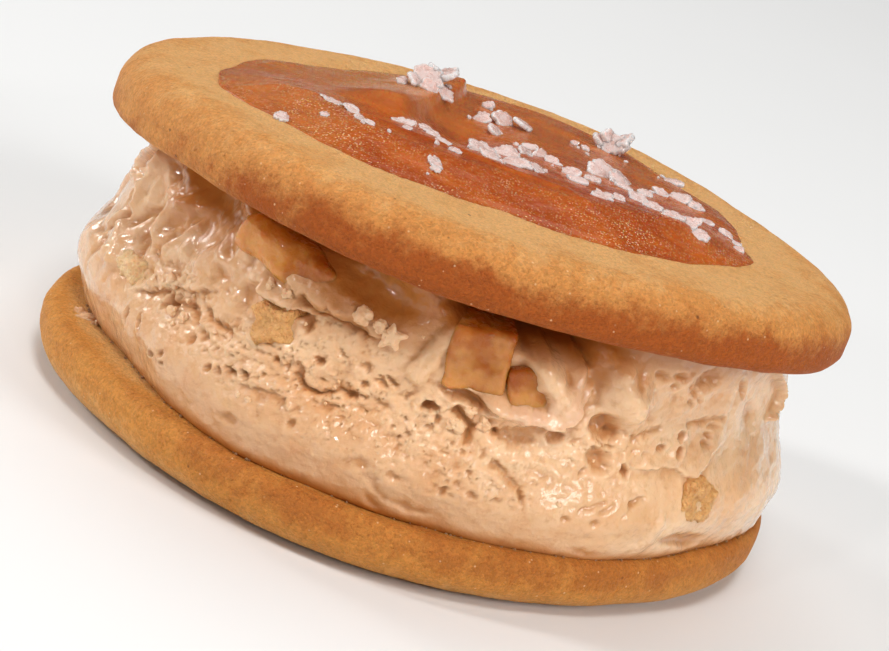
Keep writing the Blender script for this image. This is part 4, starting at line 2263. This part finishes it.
    def build(self, pool: CaramelPool, finish: SaltFinish) -> bpy.types.Object:
        """Make the flakes and the loose grains as one piece.

        Args:
            pool: The caramel that they lie on.
            finish: Their finish.

        Returns:
            The piece.
        """
        bodies = [flake.body(pool, 2.0 + 3.1 * index) for index, flake in enumerate(self.flakes)]
        rng = np.random.default_rng(5)
        for index in range(self.grains):
            near = self.flakes[int(rng.integers(len(self.flakes)))]
            x = near.x + rng.normal(0.0, self.spread)
            y = near.y + rng.normal(0.0, self.spread)
            size = rng.uniform(*self.grain_size)
            grain = Flake(x, y, size, size * 0.8, rng.uniform(0, 180), 0.3, 20.0, 0.0)
            bodies.append(grain.body(pool, 200.0 + index))
        bm = join(bodies)
        bmesh.ops.transform(bm, matrix=STACK.top_matrix(), verts=bm.verts)
        return finish_piece(self.name, bm, finish.build())


# ---------------------------------------------------------------- studio


@dataclass
class Softbox:
    """A square area light, with its place and size in metres."""

    name: str
    place: tuple[float, float, float]
    size: float
    power: float
    colour: Colour = (1.0, 1.0, 1.0)

    def build(self, aim: Vector) -> None:
        """Hang the light, facing a point.

        Args:
            aim: The point.
        """
        light = bpy.data.lights.new(self.name, "AREA")
        light.shape = "SQUARE"
        light.size = self.size
        light.energy = self.power
        light.color = self.colour
        lamp = bpy.data.objects.new(self.name, light)
        lamp.location = self.place
        lamp.rotation_euler = (aim - lamp.location).to_track_quat("-Z", "Y").to_euler()
        bpy.context.scene.collection.objects.link(lamp)


@dataclass
class Studio:
    """The pale floor, of a size in metres, the soft light and the camera."""

    floor_size: float = 4.0
    floor_colour: Colour = (0.85, 0.85, 0.845)
    world_strength: float = 0.09
    light_aim: tuple[float, float, float] = (0.0, 0.0, 0.02)
    lens: float = 121.4
    sensor: float = 36.0
    camera_place: tuple[float, float, float] = (-0.16, -326.67, 114.14)
    camera_aim: tuple[float, float, float] = (1.0, -0.91, 16.76)
    camera_roll: float = 18.57
    lights: tuple[Softbox, ...] = (
        Softbox("key_light", (0.08, -0.85, 1.36), 0.36, 9.6, (1.0, 0.985, 0.96)),
        Softbox("fill_light", (1.25, -0.75, 0.75), 0.5, 11.0),
        Softbox("left_light", (-1.30, -0.25, 0.85), 0.22, 8.0),
        Softbox("rim_light", (-1.10, 0.60, 0.50), 0.30, 4.0),
        Softbox("top_light", (0.0, 0.55, 1.40), 1.2, 8.0),
        Softbox("left_glint", (-0.50, -1.00, 0.42), 0.06, 1.4),
        Softbox("right_glint", (0.45, -1.00, 0.48), 0.06, 1.2),
    )

    def build(self) -> None:
        """Make the floor, the lights and the camera."""
        self.add_floor()
        self.add_world()
        for light in self.lights:
            light.build(Vector(self.light_aim))
        self.add_camera()
        bpy.context.scene.view_settings.view_transform = "Standard"

    def add_floor(self) -> None:
        """Lay a plain pale floor."""
        bm = bmesh.new()
        bmesh.ops.create_grid(bm, x_segments=2, y_segments=2, size=self.floor_size / 2)
        mesh = bpy.data.meshes.new("studio_floor")
        bm.to_mesh(mesh)
        bm.free()
        bench = Bench("studio_floor")
        shade = bench.ramp(bench.noise(40.0, 2.0), 0.0, 1.0, 0.60, 0.64)
        bench.set(Base_Color=self.floor_colour, Roughness=shade)
        mesh.materials.append(bench.material)
        floor = bpy.data.objects.new("studio_floor", mesh)
        bpy.context.scene.collection.objects.link(floor)

    def add_world(self) -> None:
        """Light the scene evenly from all round."""
        world = bpy.data.worlds.new("studio_world")
        world.use_nodes = True
        background = world.node_tree.nodes["Background"]
        background.inputs["Color"].default_value = (1.0, 1.0, 1.0, 1.0)
        background.inputs["Strength"].default_value = self.world_strength
        bpy.context.scene.world = world

    def add_camera(self) -> None:
        """Set up the camera, tilted so that the sandwich lies across the picture."""
        data = bpy.data.cameras.new("camera")
        data.lens = self.lens
        data.sensor_width = self.sensor
        data.clip_start = 0.01
        camera = bpy.data.objects.new("camera", data)
        place = Vector(self.camera_place) * MM
        aim = Vector(self.camera_aim) * MM
        facing = (aim - place).to_track_quat("-Z", "Y").to_matrix()
        roll = Matrix.Rotation(math.radians(self.camera_roll), 3, "Z")
        camera.location = place
        camera.rotation_euler = (facing @ roll).to_euler()
        bpy.context.scene.collection.objects.link(camera)
        bpy.context.scene.camera = camera


# ---------------------------------------------------------------- finishes in use

BAKED = CookieFinish(
    name="baked_cookie",
    pale=(0.76, 0.40, 0.145),
    gold=(0.67, 0.28, 0.07),
    brown=(0.40, 0.090, 0.009),
)
FLIPPED = CookieFinish(
    name="flipped_cookie",
    pale=(0.74, 0.38, 0.125),
    gold=(0.68, 0.285, 0.058),
    brown=(0.50, 0.165, 0.028),
)
POOL_CARAMEL = CaramelFinish(name="pool_caramel")
CHUNK_CARAMEL = CaramelFinish(
    name="chunk_caramel",
    deep=(0.36, 0.090, 0.006),
    light=(0.57, 0.195, 0.027),
    film=(0.74, 0.37, 0.115),
    bubbles=False,
    wet=0.35,
)
BISCUIT = CrumbFinish("biscuit_crumb", light=(0.82, 0.45, 0.165), dark=(0.62, 0.28, 0.078))
PALE_BISCUIT = CrumbFinish("pale_crumb", light=(0.98, 0.68, 0.37), dark=(0.90, 0.54, 0.26))
FROSTED = CrumbFinish("frosted_crumb", light=(0.55, 0.30, 0.15), dark=(0.28, 0.11, 0.035))


def build_chunks() -> None:
    """Make every piece that is set in the side."""
    materials = {
        ChunkKind.CARAMEL: CHUNK_CARAMEL.build(),
        ChunkKind.BISCUIT: BISCUIT.build(),
        ChunkKind.PALE_BISCUIT: PALE_BISCUIT.build(),
    }
    for chunk in CHUNKS:
        chunk.build(materials[chunk.kind])


def main() -> None:
    """Build the sandwich from the bottom up, then the studio round it."""
    logging.basicConfig(level=logging.INFO, format="%(name)s %(message)s")
    bottom = BottomCookie(
        name="lower_cookie",
        node="cookie_bottom",
        side=Side.FLIPPED,
        edge=(Wave(3, 0.28, 96), Wave(4, 0.56, 21), Wave(5, 0.14, -135)),
        low_rounding=(6.5, 4.2),
        high_rounding=(1.6, 1.6),
        crown=0.0,
        finish=FLIPPED,
        slot="flipped_cookie",
    )
    bottom.build()
    pool = CaramelPool()
    top = TopCookie(
        name="upper_cookie",
        node="cookie_top",
        side=Side.BAKED_UP,
        edge=(Wave(2, 0.74, -92), Wave(3, 0.23, -112), Wave(4, 0.54, -71), Wave(5, 0.28, -145)),
        low_rounding=(1.6, 1.6),
        high_rounding=(4.2, 3.6),
        crown=0.9,
        finish=BAKED,
        slot="baked_cookie",
    )
    top.build(pool)
    pool.build(POOL_CARAMEL)
    SaltFlakes().build(pool, SaltFinish())
    cream = IceCream()
    cream.build(CreamFinish())
    crumb_cream = CreamFinish(name="frozen_crumb", milkiness=0.12).build()
    CreamCrumbs(cream).build(crumb_cream)
    MeltSmears().build(crumb_cream)
    ContactCrumbs(cream).build(FROSTED)
    build_chunks()
    Studio().build()


if __name__ == "__main__":
    main()
